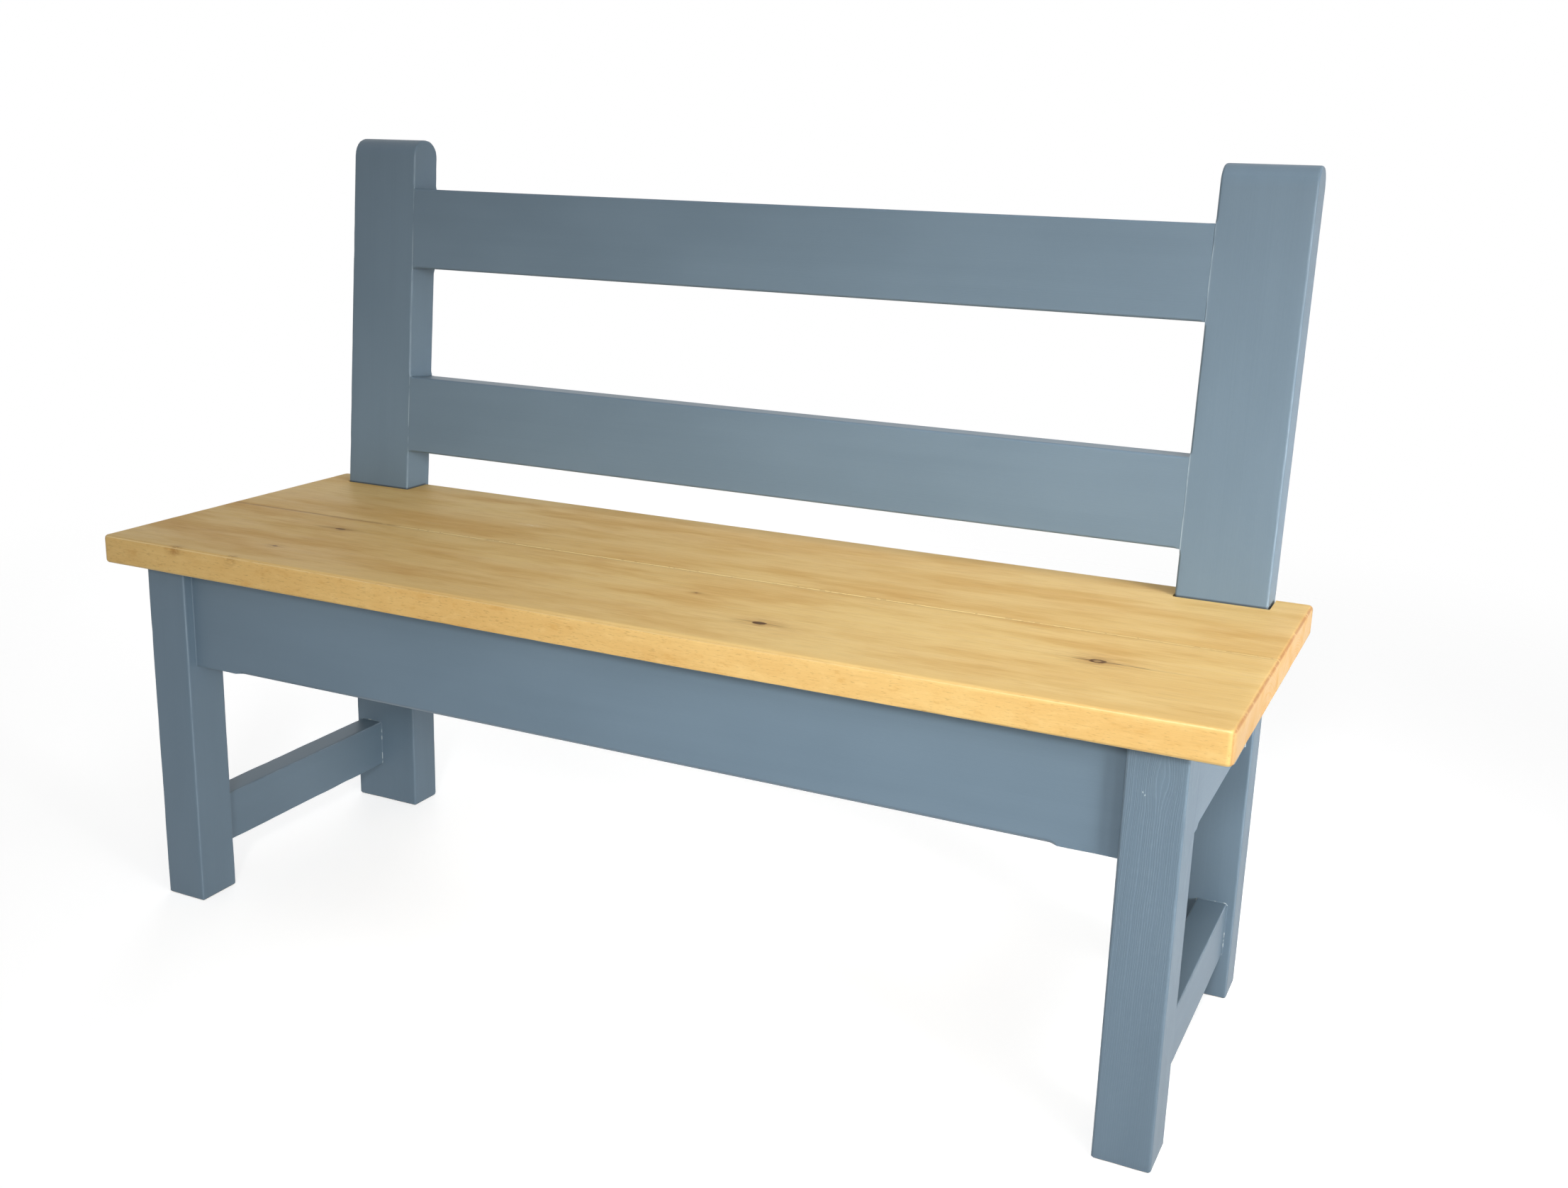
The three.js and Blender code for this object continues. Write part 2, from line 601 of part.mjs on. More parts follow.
// Each cleat's place, its turn about Z from facing forwards, and the screws along it.
const SIDE_CLEAT_START = FRONT_APRON_BACK_Y + CLEAT_SIDE + CLEAT_END_GAP;
const SIDE_CLEAT_END = POST_FRONT_Y - CLEAT_END_GAP;
const SIDE_CLEAT_X = SIDE_APRON_INNER_X - CLEAT_SIDE / 2;
const SIDE_CLEAT_Y = (SIDE_CLEAT_START + SIDE_CLEAT_END) / 2;
const longScrews = { seat: LONG_CLEAT_SEAT_SCREW_SHARES, apron: LONG_CLEAT_APRON_SCREW_SHARES };
const sideScrews = { seat: SIDE_CLEAT_SEAT_SCREW_SHARES, apron: SIDE_CLEAT_APRON_SCREW_SHARES };
const sideLength = SIDE_CLEAT_END - SIDE_CLEAT_START;
const cleats = {
  front: {
    at: [0, FRONT_APRON_BACK_Y + CLEAT_SIDE / 2],
    turn: 0,
    length: 2 * (LEG_INNER_X - CLEAT_END_GAP),
    screws: longScrews,
  },
  right: { at: [SIDE_CLEAT_X, SIDE_CLEAT_Y], turn: Math.PI / 2, length: sideLength, screws: sideScrews },
  rear: {
    at: [0, REAR_APRON_FRONT_Y - CLEAT_SIDE / 2],
    turn: Math.PI,
    length: 2 * (POST_INNER_X - CLEAT_END_GAP),
    screws: longScrews,
  },
  left: { at: [-SIDE_CLEAT_X, SIDE_CLEAT_Y], turn: -Math.PI / 2, length: sideLength, screws: sideScrews },
};

// Stands a shape drawn beside a cleat that faces forwards at the cleat's own place.
function placed(geometry, { at: [x, y], turn }) {
  return geometry.rotateZ(turn).translate(x, y, CLEAT_MIDDLE_Z);
}

// The seat screws of a cleat, driven up through it.
function seatScrews(cleat, gap) {
  const half = cleat.length / 2;
  return cleat.screws.seat.map((share) =>
    placed(screwShape(gap).translate(share * half, 0, -CLEAT_SIDE / 2), cleat));
}

// The apron screws of a cleat, driven forwards through it.
function apronScrews(cleat, gap) {
  const half = cleat.length / 2;
  return cleat.screws.apron.map((share) =>
    placed(screwShape(gap).rotateX(Math.PI / 2).translate(share * half, CLEAT_SIDE / 2, 0), cleat));
}

function dowels(gap) {
  return DOWEL_SHARES.map((share) =>
    dowelShape(gap).translate(share * SEAT_END_X, SEAT_JOINT_Y, SEAT_MIDDLE_Z));
}

function add(parent, name, geometry, material) {
  const mesh = new THREE.Mesh(geometry, material);
  mesh.name = name;
  parent.add(mesh);
}

function addPair(parent, name, rightGeometry, material) {
  add(parent, name.replace("SIDE", "right"), rightGeometry, material);
  add(parent, name.replace("SIDE", "left"), mirrored(rightGeometry), material);
}

addPair(bench, "front_SIDE_leg", rightFrontLeg(), paint);
addPair(back, "rear_SIDE_post", rightPost(), paint);
addPair(bench, "SIDE_stretcher", rightStretcher(), paint);
add(back, "top_back_rail", backRail(TOP_RAIL_BOTTOM, TOP_RAIL_TOP), paint);
add(back, "lower_back_rail", backRail(LOWER_RAIL_LIFT, LOWER_RAIL_TOP), paint);

// The aprons take the pilot holes of the screws through their own cleats.
const apronHoles = Object.fromEntries(
  Object.entries(cleats).map(([side, cleat]) => [side, apronScrews(cleat, JOINT_GAP)]),
);
const seatHoles = Object.values(cleats).flatMap((cleat) => seatScrews(cleat, JOINT_GAP));
add(bench, "front_apron", carved([frontApron()], apronHoles.front), paint);
add(bench, "rear_apron", carved([rearApron()], apronHoles.rear), paint);
addPair(bench, "SIDE_side_apron", carved([rightSideApron()], apronHoles.right), paint);
add(bench, "front_seat_board", seatBoard(frontBoardOutline, [...dowels(JOINT_GAP), ...seatHoles]), pine);
add(bench, "rear_seat_board", seatBoard(rearBoardOutline, [...dowels(JOINT_GAP), ...seatHoles]), pine);
dowels(0).forEach((dowel, i) => add(bench, `seat_dowel_${i + 1}`, dowel, rawPine));

for (const [side, cleat] of Object.entries(cleats)) {
  const bar = placed(cleatBar(cleat.length), cleat);
  const holes = [...seatScrews(cleat, JOINT_GAP), ...apronScrews(cleat, JOINT_GAP)];
  add(bench, `${side}_cleat`, carved([bar], holes), rawPine);
  seatScrews(cleat, 0).forEach((screw, i) => add(bench, `${side}_seat_screw_${i + 1}`, screw, steel));
  apronScrews(cleat, 0).forEach((screw, i) => add(bench, `${side}_apron_screw_${i + 1}`, screw, steel));
}

const monksBench = new THREE.Group();
monksBench.name = "painted_pine_bench";
monksBench.add(bench);
export default monksBench;
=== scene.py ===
# %% [markdown]
# A farmhouse bench: a softwood frame brushed with blue-grey satin paint, under a seat of two waxed
# pine boards. The solid model of its pieces is already made, so this script dresses them: it gives
# every board its hand-worked surface, grain, paint or wax, and then lights the bench in a studio.
# The first step loads the solid model. Nothing in it is moved or reshaped. Each visible piece below
# is a refined copy that stands in for its plain one.

# %% Load the pieces
import json
import math

import bmesh
import bpy
import numpy as np
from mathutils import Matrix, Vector


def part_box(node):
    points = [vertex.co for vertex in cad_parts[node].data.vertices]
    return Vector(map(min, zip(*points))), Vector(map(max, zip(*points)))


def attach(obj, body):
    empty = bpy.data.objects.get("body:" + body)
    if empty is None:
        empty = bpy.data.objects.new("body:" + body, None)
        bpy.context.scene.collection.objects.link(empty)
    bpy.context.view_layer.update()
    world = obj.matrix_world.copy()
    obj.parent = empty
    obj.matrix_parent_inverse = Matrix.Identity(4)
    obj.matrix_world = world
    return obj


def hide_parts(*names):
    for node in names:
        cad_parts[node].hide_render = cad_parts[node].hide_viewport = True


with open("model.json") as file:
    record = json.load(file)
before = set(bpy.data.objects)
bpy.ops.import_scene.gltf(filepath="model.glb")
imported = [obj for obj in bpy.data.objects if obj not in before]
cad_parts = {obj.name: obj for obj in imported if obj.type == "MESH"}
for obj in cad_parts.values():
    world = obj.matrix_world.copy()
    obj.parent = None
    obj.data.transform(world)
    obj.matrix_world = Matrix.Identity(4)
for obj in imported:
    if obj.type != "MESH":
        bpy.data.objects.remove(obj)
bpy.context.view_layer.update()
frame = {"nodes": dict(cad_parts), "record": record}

MM = 0.001
print("pieces loaded:", len(frame["nodes"]))

# %% [markdown]
# The camera comes first, because everything after it is judged through it. It stands in front of
# the right-hand end, a little above the back, and it is rolled a degree, as a camera held in the
# hand is. The lens is a mild wide angle, so the near leg looks large. A small shift recentres the
# picture without turning the camera, which keeps the uprights as they are.

# %% Place the camera
CAMERA_PLACE = (0.8344, -1.5630, 0.9111)
CAMERA_TURN_DEGREES = (75.2274, -1.3502, 26.4254)
CAMERA_LENS = 37.845
CAMERA_SHIFT = (0.02645, -0.01439)

scene = bpy.context.scene
camera = bpy.data.objects.new("camera", bpy.data.cameras.new("camera"))
scene.collection.objects.link(camera)
camera.location = CAMERA_PLACE
camera.rotation_euler = [math.radians(turn) for turn in CAMERA_TURN_DEGREES]
camera.data.lens = CAMERA_LENS
camera.data.shift_x, camera.data.shift_y = CAMERA_SHIFT
camera.data.clip_start = 0.05
camera.data.clip_end = 60
scene.camera = camera
print("camera is", round(camera.location.length, 2), "m from the middle of the bench")

# %% [markdown]
# Wood and paint are made by maths on the surface: streaks, rings, knots and worn edges are sums of
# noises and distances. Wiring a hundred Math nodes by hand is hard to read, so a few small classes
# let the sums be written as Python. A Field is one socket of a tree, and adding two Fields adds a
# Math node. A Maker builds a tree: its method node() makes a node, sets the node's own settings
# before it fills the sockets, and returns one output as a Field. A Finish makes a material.

# %% Write node maths as Python
def forward(operation):
    return lambda field, other: field.maker.maths(operation, field, other)


def backward(operation):
    return lambda field, other: field.maker.maths(operation, other, field)


class Field:
    """A number, colour or vector that changes over a surface: one socket in a tree."""

    def __init__(self, maker, socket):
        self.maker = maker
        self.socket = socket

    __add__, __radd__ = forward("ADD"), backward("ADD")
    __sub__, __rsub__ = forward("SUBTRACT"), backward("SUBTRACT")
    __mul__, __rmul__ = forward("MULTIPLY"), backward("MULTIPLY")
    __truediv__, __rtruediv__ = forward("DIVIDE"), backward("DIVIDE")
    __pow__ = forward("POWER")


def socket_named(sockets, name):
    """The socket with this identifier. Mix and Math have several sockets with one label."""
    return next(socket for socket in sockets if name in (socket.identifier, socket.name))


def add_node(tree, kind, settings, inputs):
    """A node of a shader or geometry tree: its settings first, then its values and links."""
    made = tree.nodes.new(kind)
    for name, value in settings.items():
        setattr(made, name, value)
    for name, value in inputs.items():
        socket = socket_named(made.inputs, name)
        if isinstance(value, Field):
            tree.links.new(value.socket, socket)
        else:
            socket.default_value = value
    return made


class Maker:
    """A tree of nodes being built."""

    def __init__(self, tree):
        self.tree = tree

    def node(self, kind, settings, inputs, output):
        made = add_node(self.tree, kind, settings, inputs)
        return Field(self, socket_named(made.outputs, output))

    def maths(self, operation, first, second=0.0):
        inputs = {"Value": first, "Value_001": second}
        return self.node("ShaderNodeMath", {"operation": operation}, inputs, "Value")

    def remap(self, value, low, high, to_low, to_high, curve="LINEAR"):
        inputs = {
            "Value": value, "From Min": low, "From Max": high, "To Min": to_low, "To Max": to_high,
        }
        return self.node("ShaderNodeMapRange", {"interpolation_type": curve}, inputs, "Result")

    def smooth(self, value, low, high):
        """0 below low, 1 above high, and an S-curve between them."""
        return self.remap(value, low, high, 0.0, 1.0, "SMOOTHSTEP")

    def fade(self, value, low, high):
        """1 below low, 0 above high, and an S-curve between them."""
        return 1.0 - self.smooth(value, low, high)

    def bell(self, squared):
        """1 where a squared distance is 0, and falling away to 0."""
        return self.maths("EXPONENT", 0.0 - squared)

    def vector_maths(self, operation, first, second):
        inputs = {"Vector": first, "Vector_001": second}
        return self.node("ShaderNodeVectorMath", {"operation": operation}, inputs, "Vector")

    def parts(self, vector):
        """The three numbers of a vector."""
        made = add_node(self.tree, "ShaderNodeSeparateXYZ", {}, {"Vector": vector})
        return [Field(self, output) for output in made.outputs]

    def to_arrises(self, ends, edges, faces):
        """The distances to a board's arrises along the grain and to those round its ends."""
        either = self.maths("MINIMUM", edges, faces)
        return self.maths("MAXIMUM", edges, faces), self.maths("MAXIMUM", ends, either)


print("node helpers are ready")


# %% Write materials as Python
class Finish(Maker):
    """The shader tree of a material or of the world, being built."""

    def __init__(self, owner):
        self.owner = owner
        self.owner.use_nodes = True
        super().__init__(self.owner.node_tree)
        self.tree.nodes.clear()

    def noise(self, vector, scales, detail=2.0, roughness=0.5):
        """Soft random clouds from 0 to 1. Scales are clouds per metre along the three axes."""
        inputs = {
            "Vector": self.vector_maths("MULTIPLY", vector, scales), "Scale": 1.0,
            "Detail": detail, "Roughness": roughness,
        }
        return self.node("ShaderNodeTexNoise", {}, inputs, "Fac")

    def mixed(self, first, second, share):
        """From the first colour to the second."""
        inputs = {"Factor_Float": share, "A_Color": first, "B_Color": second}
        return self.node("ShaderNodeMix", {"data_type": "RGBA"}, inputs, "Result_Color")

    def layered(self, colour, *layers):
        """A colour under layers, each of which has its own colour and its share."""
        for layer, share in layers:
            colour = self.mixed(colour, layer, share)
        return colour

    def object_place(self):
        return self.node("ShaderNodeTexCoord", {}, {}, "Object")

    def attribute(self, name):
        settings = {"attribute_type": "GEOMETRY", "attribute_name": name}
        return self.node("ShaderNodeAttribute", settings, {}, "Vector")

    def bumped(self, height, reach):
        """The surface normal over relief, whose height is from 0 to 1 and reach is in metres."""
        inputs = {"Strength": 1.0, "Distance": reach, "Height": height}
        return self.node("ShaderNodeBump", {}, inputs, "Normal")

    def close(self, surface):
        """Ends the material with this shader."""
        add_node(self.tree, "ShaderNodeOutputMaterial", {}, {"Surface": surface})
        return self.owner

    def close_solid(self, inputs):
        """Ends the material as a solid surface with these values."""
        return self.close(self.node("ShaderNodeBsdfPrincipled", {}, inputs, "BSDF"))

    def close_wood(self, colour, roughness, gloss, height, reach):
        """Ends the material as wood or paint with this relief."""
        return self.close_solid({
            "Base Color": colour, "Roughness": roughness, "Specular IOR Level": gloss,
            "Normal": self.bumped(height, reach),
        })


def new_finish(name):
    return Finish(bpy.data.materials.new(name))


print("material helpers are ready")

# %% [markdown]
# The studio is a white room, a pale floor and six soft lamps. The room gives each side of the
# bench an even, low light. The end lamp stands at the right, so the faces that look that way are
# the lightest. The front lamp stands behind the camera and above it, so the overhang of the seat
# throws a narrow shadow on the apron, and its beam fades towards the far left and the top of the
# back. Three weak lamps with narrower beams lift what the photo shows lighter: the left legs'
# inner sides, the right-hand end and the right half of the seat. A low lamp behind the bench
# lights the back, which the photo doesn't show, and puts no glare on the wax. The floor is white to
# the camera but keeps the bench's shadow, and it fades into the white backdrop before its edge.

# %% Light the studio
FLOOR_SIZE = 12.0
FLOOR_FADE = (1.1, 2.6)
FLOOR_MATT = (0.65, 0.65, 0.65, 1.0)
FLOOR_LIFT = 0.66
ROOM_LEVEL = 0.33
# Name, place, aim, size in metres, power in watts, spread in degrees, and whether it shows in gloss
LAMPS = [
    ("end lamp", (2.0, -0.6, 1.0), (0.3, 0, 0.4), 1.4, 4.8, 180, True),
    ("front lamp", (0.8, -2.2, 1.35), (0.2, 0, 0.25), 0.25, 2.95, 60, True),
    ("leg lamp", (2.4, -2.4, 0.3), (-0.5, -0.1, 0.15), 0.6, 1.2, 30, True),
    ("side lamp", (2.2, -0.8, 0.9), (0.6, 0.1, 0.5), 0.8, 2.9, 32, True),
    ("seat lamp", (0.9, -0.4, 2), (0.5, -0.05, 0.45), 0.8, 1.45, 70, True),
    ("back lamp", (-1.8, 2.2, 0.6), (0, 0.2, 0.5), 1.2, 15, 120, False),
]


def add_lamp(name, place, aim, size, power, spread, glare):
    data = bpy.data.lights.new(name, "AREA")
    data.shape = "SQUARE"
    data.size = size
    data.energy = power
    data.spread = math.radians(spread)
    lamp = bpy.data.objects.new(name, data)
    scene.collection.objects.link(lamp)
    lamp.visible_camera = False
    lamp.visible_glossy = glare
    lamp.location = place
    lamp.rotation_euler = (Vector(aim) - Vector(place)).to_track_quat("-Z", "Y").to_euler()


for row in LAMPS:
    add_lamp(*row)


def seen_plainly(finish):
    """1 to the camera, in reflections and through glass, and 0 to light that lands on things."""
    kinds = ("Is Camera Ray", "Is Glossy Ray", "Is Transmission Ray")
    direct, glossy, clear = [finish.node("ShaderNodeLightPath", {}, {}, kind) for kind in kinds]
    return finish.maths("MINIMUM", direct + glossy + clear, 1.0)


def light_room():
    """A world that lights the bench softly, and is white to the camera and in reflections."""
    scene.world = bpy.data.worlds.new("room")
    room = Finish(scene.world)
    level = ROOM_LEVEL + seen_plainly(room) * (1.0 - ROOM_LEVEL)
    inputs = {"Color": (1.0, 1.0, 1.0, 1.0), "Strength": level}
    glow = room.node("ShaderNodeBackground", {}, inputs, "Background")
    add_node(room.tree, "ShaderNodeOutputWorld", {}, {"Surface": glow})


def floor_finish():
    """Pale and matt, a little brighter to the camera, and clear past the fade."""
    finish = new_finish("studio_floor")
    flat = finish.vector_maths("MULTIPLY", finish.object_place(), (1.0, 1.0, 0.0))
    settings = {"operation": "LENGTH"}
    distance = finish.node("ShaderNodeVectorMath", settings, {"Vector": flat}, "Value")
    matt = finish.node("ShaderNodeBsdfDiffuse", {}, {"Color": FLOOR_MATT}, "BSDF")
    to_camera = seen_plainly(finish)
    lift = finish.node("ShaderNodeEmission", {}, {"Strength": to_camera * FLOOR_LIFT}, "Emission")
    inputs = {"Shader": matt, "Shader_001": lift}
    floor = finish.node("ShaderNodeAddShader", {}, inputs, "Shader")
    clear = finish.node("ShaderNodeBsdfTransparent", {}, {}, "BSDF")
    fade = finish.smooth(distance, *FLOOR_FADE)
    inputs = {"Fac": fade * to_camera, "Shader": floor, "Shader_001": clear}
    return finish.close(finish.node("ShaderNodeMixShader", {}, inputs, "Shader"))


def lay_floor():
    mesh = bpy.data.meshes.new("floor")
    half = FLOOR_SIZE / 2
    corners = [(-half, -half, 0), (half, -half, 0), (half, half, 0), (-half, half, 0)]
    mesh.from_pydata(corners, [], [(0, 1, 2, 3)])
    mesh.materials.append(floor_finish())
    floor = bpy.data.objects.new("floor", mesh)
    scene.collection.objects.link(floor)


light_room()
lay_floor()
scene.view_settings.view_transform = "Standard"
print("lamps:", len(LAMPS), "and the room at", ROOM_LEVEL)

# %% [markdown]
# Grain runs along a board, whichever way the board stands. So each board carries two vectors on
# its points. The first, board, is the place within the plank: along the grain, across the width
# and through the thickness, from the plank's middle. The second, inset, is how deep a point lies
# behind the nearest end, edge and face. Finishes read the first for grain and brush marks, and
# the second for worn arrises, where two of the depths are small.
#
# The posts are cut from wide planks and bend back above the seat, so their depth is measured from
# the bent front face. The front edge of the seat runs back a little towards its left-hand end,
# and its depth is measured from that real edge.

# %% Give every board its own coordinates
RAKE = math.radians(4.76)
SEAT_RUN_OUT = 10 * MM
SEAT_RUN_OUT_START = 130 * MM
SEAT_CORNER = 7 * MM
POST_DEPTH = 48 * MM
AXES = {"X": (0, 1, 2), "Y": (1, 0, 2), "Z": (2, 0, 1)}

seat_low, seat_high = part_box("front_seat_board")
post_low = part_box("rear_right_post")[0]
BEND_HEIGHT = (seat_low.z + seat_high.z) / 2


def upright_depths(places):
    """Height above the bend of a post, and depth behind its front face, following the rake."""
    back = places[:, 1] - post_low.y
    up = places[:, 2] - BEND_HEIGHT
    raked_up = up * math.cos(RAKE) + back * math.sin(RAKE)
    raked_back = back * math.cos(RAKE) - up * math.sin(RAKE)
    above = up + back * math.tan(RAKE / 2) > 0
    return np.where(above, raked_up, up), np.where(above, raked_back, back)


def seat_front_edge(x):
    """Where the seat's front edge is at each x."""
    run = (SEAT_RUN_OUT_START - x) / (SEAT_RUN_OUT_START + seat_high.x - SEAT_CORNER)
    return seat_low.y + SEAT_RUN_OUT * np.clip(run, 0, None)


def board_vectors(node, grain, places):
    """The board and inset vectors of places on a piece."""
    low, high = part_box(node)
    order = AXES[grain]
    board = (places - np.array((low + high) / 2))[:, order]
    inset = np.minimum(places - np.array(low), np.array(high) - places)[:, order]
    if node.endswith("post"):
        up, back = upright_depths(places)
        board[:, 0], board[:, 2] = up, back - POST_DEPTH / 2
        inset[:, 2] = np.minimum(back, POST_DEPTH - back)
    if node == "front_seat_board":
        inset[:, 1] = places[:, 1] - seat_front_edge(places[:, 0])
    if node == "rear_seat_board":
        inset[:, 1] = high.y - places[:, 1]
    return board, inset


print("bend of the posts at", round(BEND_HEIGHT, 4), "m")

# %% [markdown]
# A planed and sanded board is never quite flat, and its arrises vary where the sanding block ran
# lighter or harder. That shows in how highlights wander, so it has to be real geometry. The copy
# of each plain board is merged, its flat faces are joined up and then cut into small cells, so
# that there are points to move. A Geometry Nodes tree then sinks them: gently everywhere, by a
# noise as long as a hand's stroke, and a little more along the arrises. It only ever takes wood
# away, so no board grows. Weighted normals keep the flat faces flat beside the round arrises.

# %% Cut a board's faces into cells
MERGE_DISTANCE = 0.005 * MM
FLAT_ANGLE = math.radians(0.6)
CELL = 12 * MM


def cut_planes(low, high):
    count = max(1, round((high - low) / CELL))
    return [low + (high - low) * step / count for step in range(1, count)]


def celled_mesh(node, grain):
    """A merged copy of a piece, its faces cut along and across the grain."""
    cells = bmesh.new()
    cells.from_mesh(frame["nodes"][node].data)
    bmesh.ops.remove_doubles(cells, verts=cells.verts, dist=MERGE_DISTANCE)
    bmesh.ops.dissolve_limit(cells, angle_limit=FLAT_ANGLE, verts=cells.verts, edges=cells.edges)
    low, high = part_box(node)
    for axis in AXES[grain][:2]:
        normal = Vector([float(axis == other) for other in range(3)])
        for height in cut_planes(low[axis], high[axis]):
            everything = [*cells.verts, *cells.edges, *cells.faces]
            bmesh.ops.bisect_plane(
                cells, geom=everything, dist=MERGE_DISTANCE,
                plane_co=normal * height, plane_no=normal,
            )
    mesh = bpy.data.meshes.new(node + "_cells")
    cells.to_mesh(mesh)
    cells.free()
    return mesh


def store_vector(mesh, name, values):
    attribute = mesh.attributes.new(name, "FLOAT_VECTOR", "POINT")
    attribute.data.foreach_set("vector", values.astype(np.float32).ravel())


def places_of(mesh):
    places = np.zeros(len(mesh.vertices) * 3, np.float32)
    mesh.vertices.foreach_get("co", places)
    return places.reshape(-1, 3).astype(float)


print("cells are", round(CELL / MM), "mm")


# %% Write geometry nodes as Python too
class Tree(Maker):
    """A Geometry Nodes tree being built, with named inputs."""

    def __init__(self, name, sizes):
        super().__init__(bpy.data.node_groups.new(name, "GeometryNodeTree"))
        self.tree.is_modifier = True
        face = self.tree.interface
        face.new_socket("Geometry", in_out="OUTPUT", socket_type="NodeSocketGeometry")
        face.new_socket("Geometry", in_out="INPUT", socket_type="NodeSocketGeometry")
        face.new_socket("Finish", in_out="INPUT", socket_type="NodeSocketMaterial")
        for size in sizes:
            face.new_socket(size, in_out="INPUT", socket_type="NodeSocketFloat")
        self.inputs = add_node(self.tree, "NodeGroupInput", {}, {}).outputs

    def input(self, name):
        return Field(self, self.inputs[name])

    def vector(self, x, y, z):
        return self.node("ShaderNodeCombineXYZ", {}, {"X": x, "Y": y, "Z": z}, "Vector")

    def noise(self, length, detail, output="Fac"):
        """Soft random clouds of this length: a number, or with Color three of them."""
        place = self.node("GeometryNodeInputPosition", {}, {}, "Position")
        inputs = {"Vector": place, "Scale": 1.0 / length, "Detail": detail}
        return self.node("ShaderNodeTexNoise", {}, inputs, output)

    def pushed(self, geometry, way, reach):
        """A geometry whose points are moved by this vector, made so many times as long."""
        inputs = {"Vector": way, "Scale": reach}
        offset = self.node("ShaderNodeVectorMath", {"operation": "SCALE"}, inputs, "Vector")
        inputs = {"Geometry": geometry, "Offset": offset}
        return self.node("GeometryNodeSetPosition", {}, inputs, "Geometry")

    def attribute(self, name):
        """A vector that the mesh carries on its points."""
        settings = {"data_type": "FLOAT_VECTOR"}
        return self.node("GeometryNodeInputNamedAttribute", settings, {"Name": name}, "Attribute")

    def close(self, geometry):
        """Smooths the faces but for sharp edges, makes copies real and sets the finish."""
        angle = self.node("GeometryNodeInputMeshEdgeAngle", {}, {}, "Unsigned Angle")
        inputs = {"A": angle, "B": SHARP}
        sharp = self.node("FunctionNodeCompare", {"operation": "GREATER_THAN"}, inputs, "Result")
        inputs = {"Geometry": geometry, "Shade Smooth": True}
        smooth = self.node("GeometryNodeSetShadeSmooth", {"domain": "FACE"}, inputs, "Geometry")
        inputs = {"Geometry": smooth, "Selection": sharp, "Shade Smooth": False}
        edged = self.node("GeometryNodeSetShadeSmooth", {"domain": "EDGE"}, inputs, "Geometry")
        real = self.node("GeometryNodeRealizeInstances", {}, {"Geometry": edged}, "Geometry")
        inputs = {"Geometry": real, "Material": self.input("Finish")}
        finished = self.node("GeometryNodeSetMaterial", {}, inputs, "Geometry")
        add_node(self.tree, "NodeGroupOutput", {}, {"Geometry": finished})
        return self.tree


SHARP = math.radians(50)


def grown(name, mesh, group, finish, sizes, weighted=False):
    """The plain mesh that a tree makes from a mesh, as an object of the scene."""
    source = bpy.data.objects.new(name, mesh)
    scene.collection.objects.link(source)
    modifier = source.modifiers.new(group.name, "NODES")
    modifier.node_group = group
    values = {"Finish": finish, **sizes}
    for item in group.interface.items_tree:
        if item.in_out == "INPUT" and item.name in values:
            modifier[item.identifier] = values[item.name]
    if weighted:
        normals = source.modifiers.new("even faces", "WEIGHTED_NORMAL")
        normals.weight = 100
        normals.keep_sharp = True
    evaluated = source.evaluated_get(bpy.context.evaluated_depsgraph_get())
    made = bpy.data.meshes.new_from_object(evaluated)
    bpy.data.objects.remove(source)
    piece = bpy.data.objects.new(name, made)
    scene.collection.objects.link(piece)
    return piece


print("edges sharper than", round(math.degrees(SHARP)), "degrees stay crisp")

# %% The tree that works a board by hand
HAND_SIZES = {
    "Dip": 0.22 * MM, "Dip length": 90 * MM,
    "Wear": 0.5 * MM, "Wear length": 35 * MM, "Arris": 4 * MM,
}


def hand_worked_tree():
    """Sinks a board's points by a soft noise, and its arrises by a shorter one."""
    tree = Tree("hand worked board", HAND_SIZES)
    normal = tree.node("GeometryNodeInputNormal", {}, {}, "Normal")
    dips = tree.noise(tree.input("Dip length"), 1.0)
    knocks = tree.noise(tree.input("Wear length"), 2.0)
    arrises = tree.to_arrises(*tree.parts(tree.attribute("inset")))
    depth = tree.maths("MINIMUM", *arrises)
    near = tree.fade(depth, 0.0, tree.input("Arris"))
    worn = tree.smooth(knocks, 0.45, 0.7)
    sink = dips * tree.input("Dip") + near * worn * tree.input("Wear")
    return tree.close(tree.pushed(tree.input("Geometry"), normal, 0.0 - sink))


HAND_WORKED = hand_worked_tree()
PLANK_SHUFFLE = np.random.default_rng(7)
SLOTS = {part["node"]: part["material_slot"] for part in frame["record"]["subparts"]}


def worked_board(node, grain, finish):
    """Dresses one board, which stands in for the plain one."""
    mesh = celled_mesh(node, grain)
    board, inset = board_vectors(node, grain, places_of(mesh))
    store_vector(mesh, "board", board)
    store_vector(mesh, "inset", inset)
    store_vector(mesh, "plank", np.tile(PLANK_SHUFFLE.uniform(-5, 5, 3), (len(board), 1)))
    piece = grown(node + "_worked", mesh, HAND_WORKED, finish, HAND_SIZES, weighted=True)
    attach(piece, "root")
    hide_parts(node)


print("hand work sinks a face by up to", round(HAND_SIZES["Dip"] / MM, 2), "mm")

# %% [markdown]
# Softwood is a stack of growth rings round a pith. Cut a plank anywhere and its faces show the
# same rings as long lines on the flat and as arcs on the end, so the rings are worked out once, in
# the plank's own three dimensions: the distance from a slightly wandering pith, divided by the
# ring width. In each ring the wood goes from pale to dark and back at once. A knot is a branch
# that the later rings had to grow round, so near a knot the grain is looked up closer to the
# knot's middle line, which makes the rings part round it.

# %% Grow the wood
SWEEP_ALONG = 3.2
SWEEP_ACROSS = 2.6
PITH_DRIFT = 50 * MM
YEARS_PER_METRE = 55.0


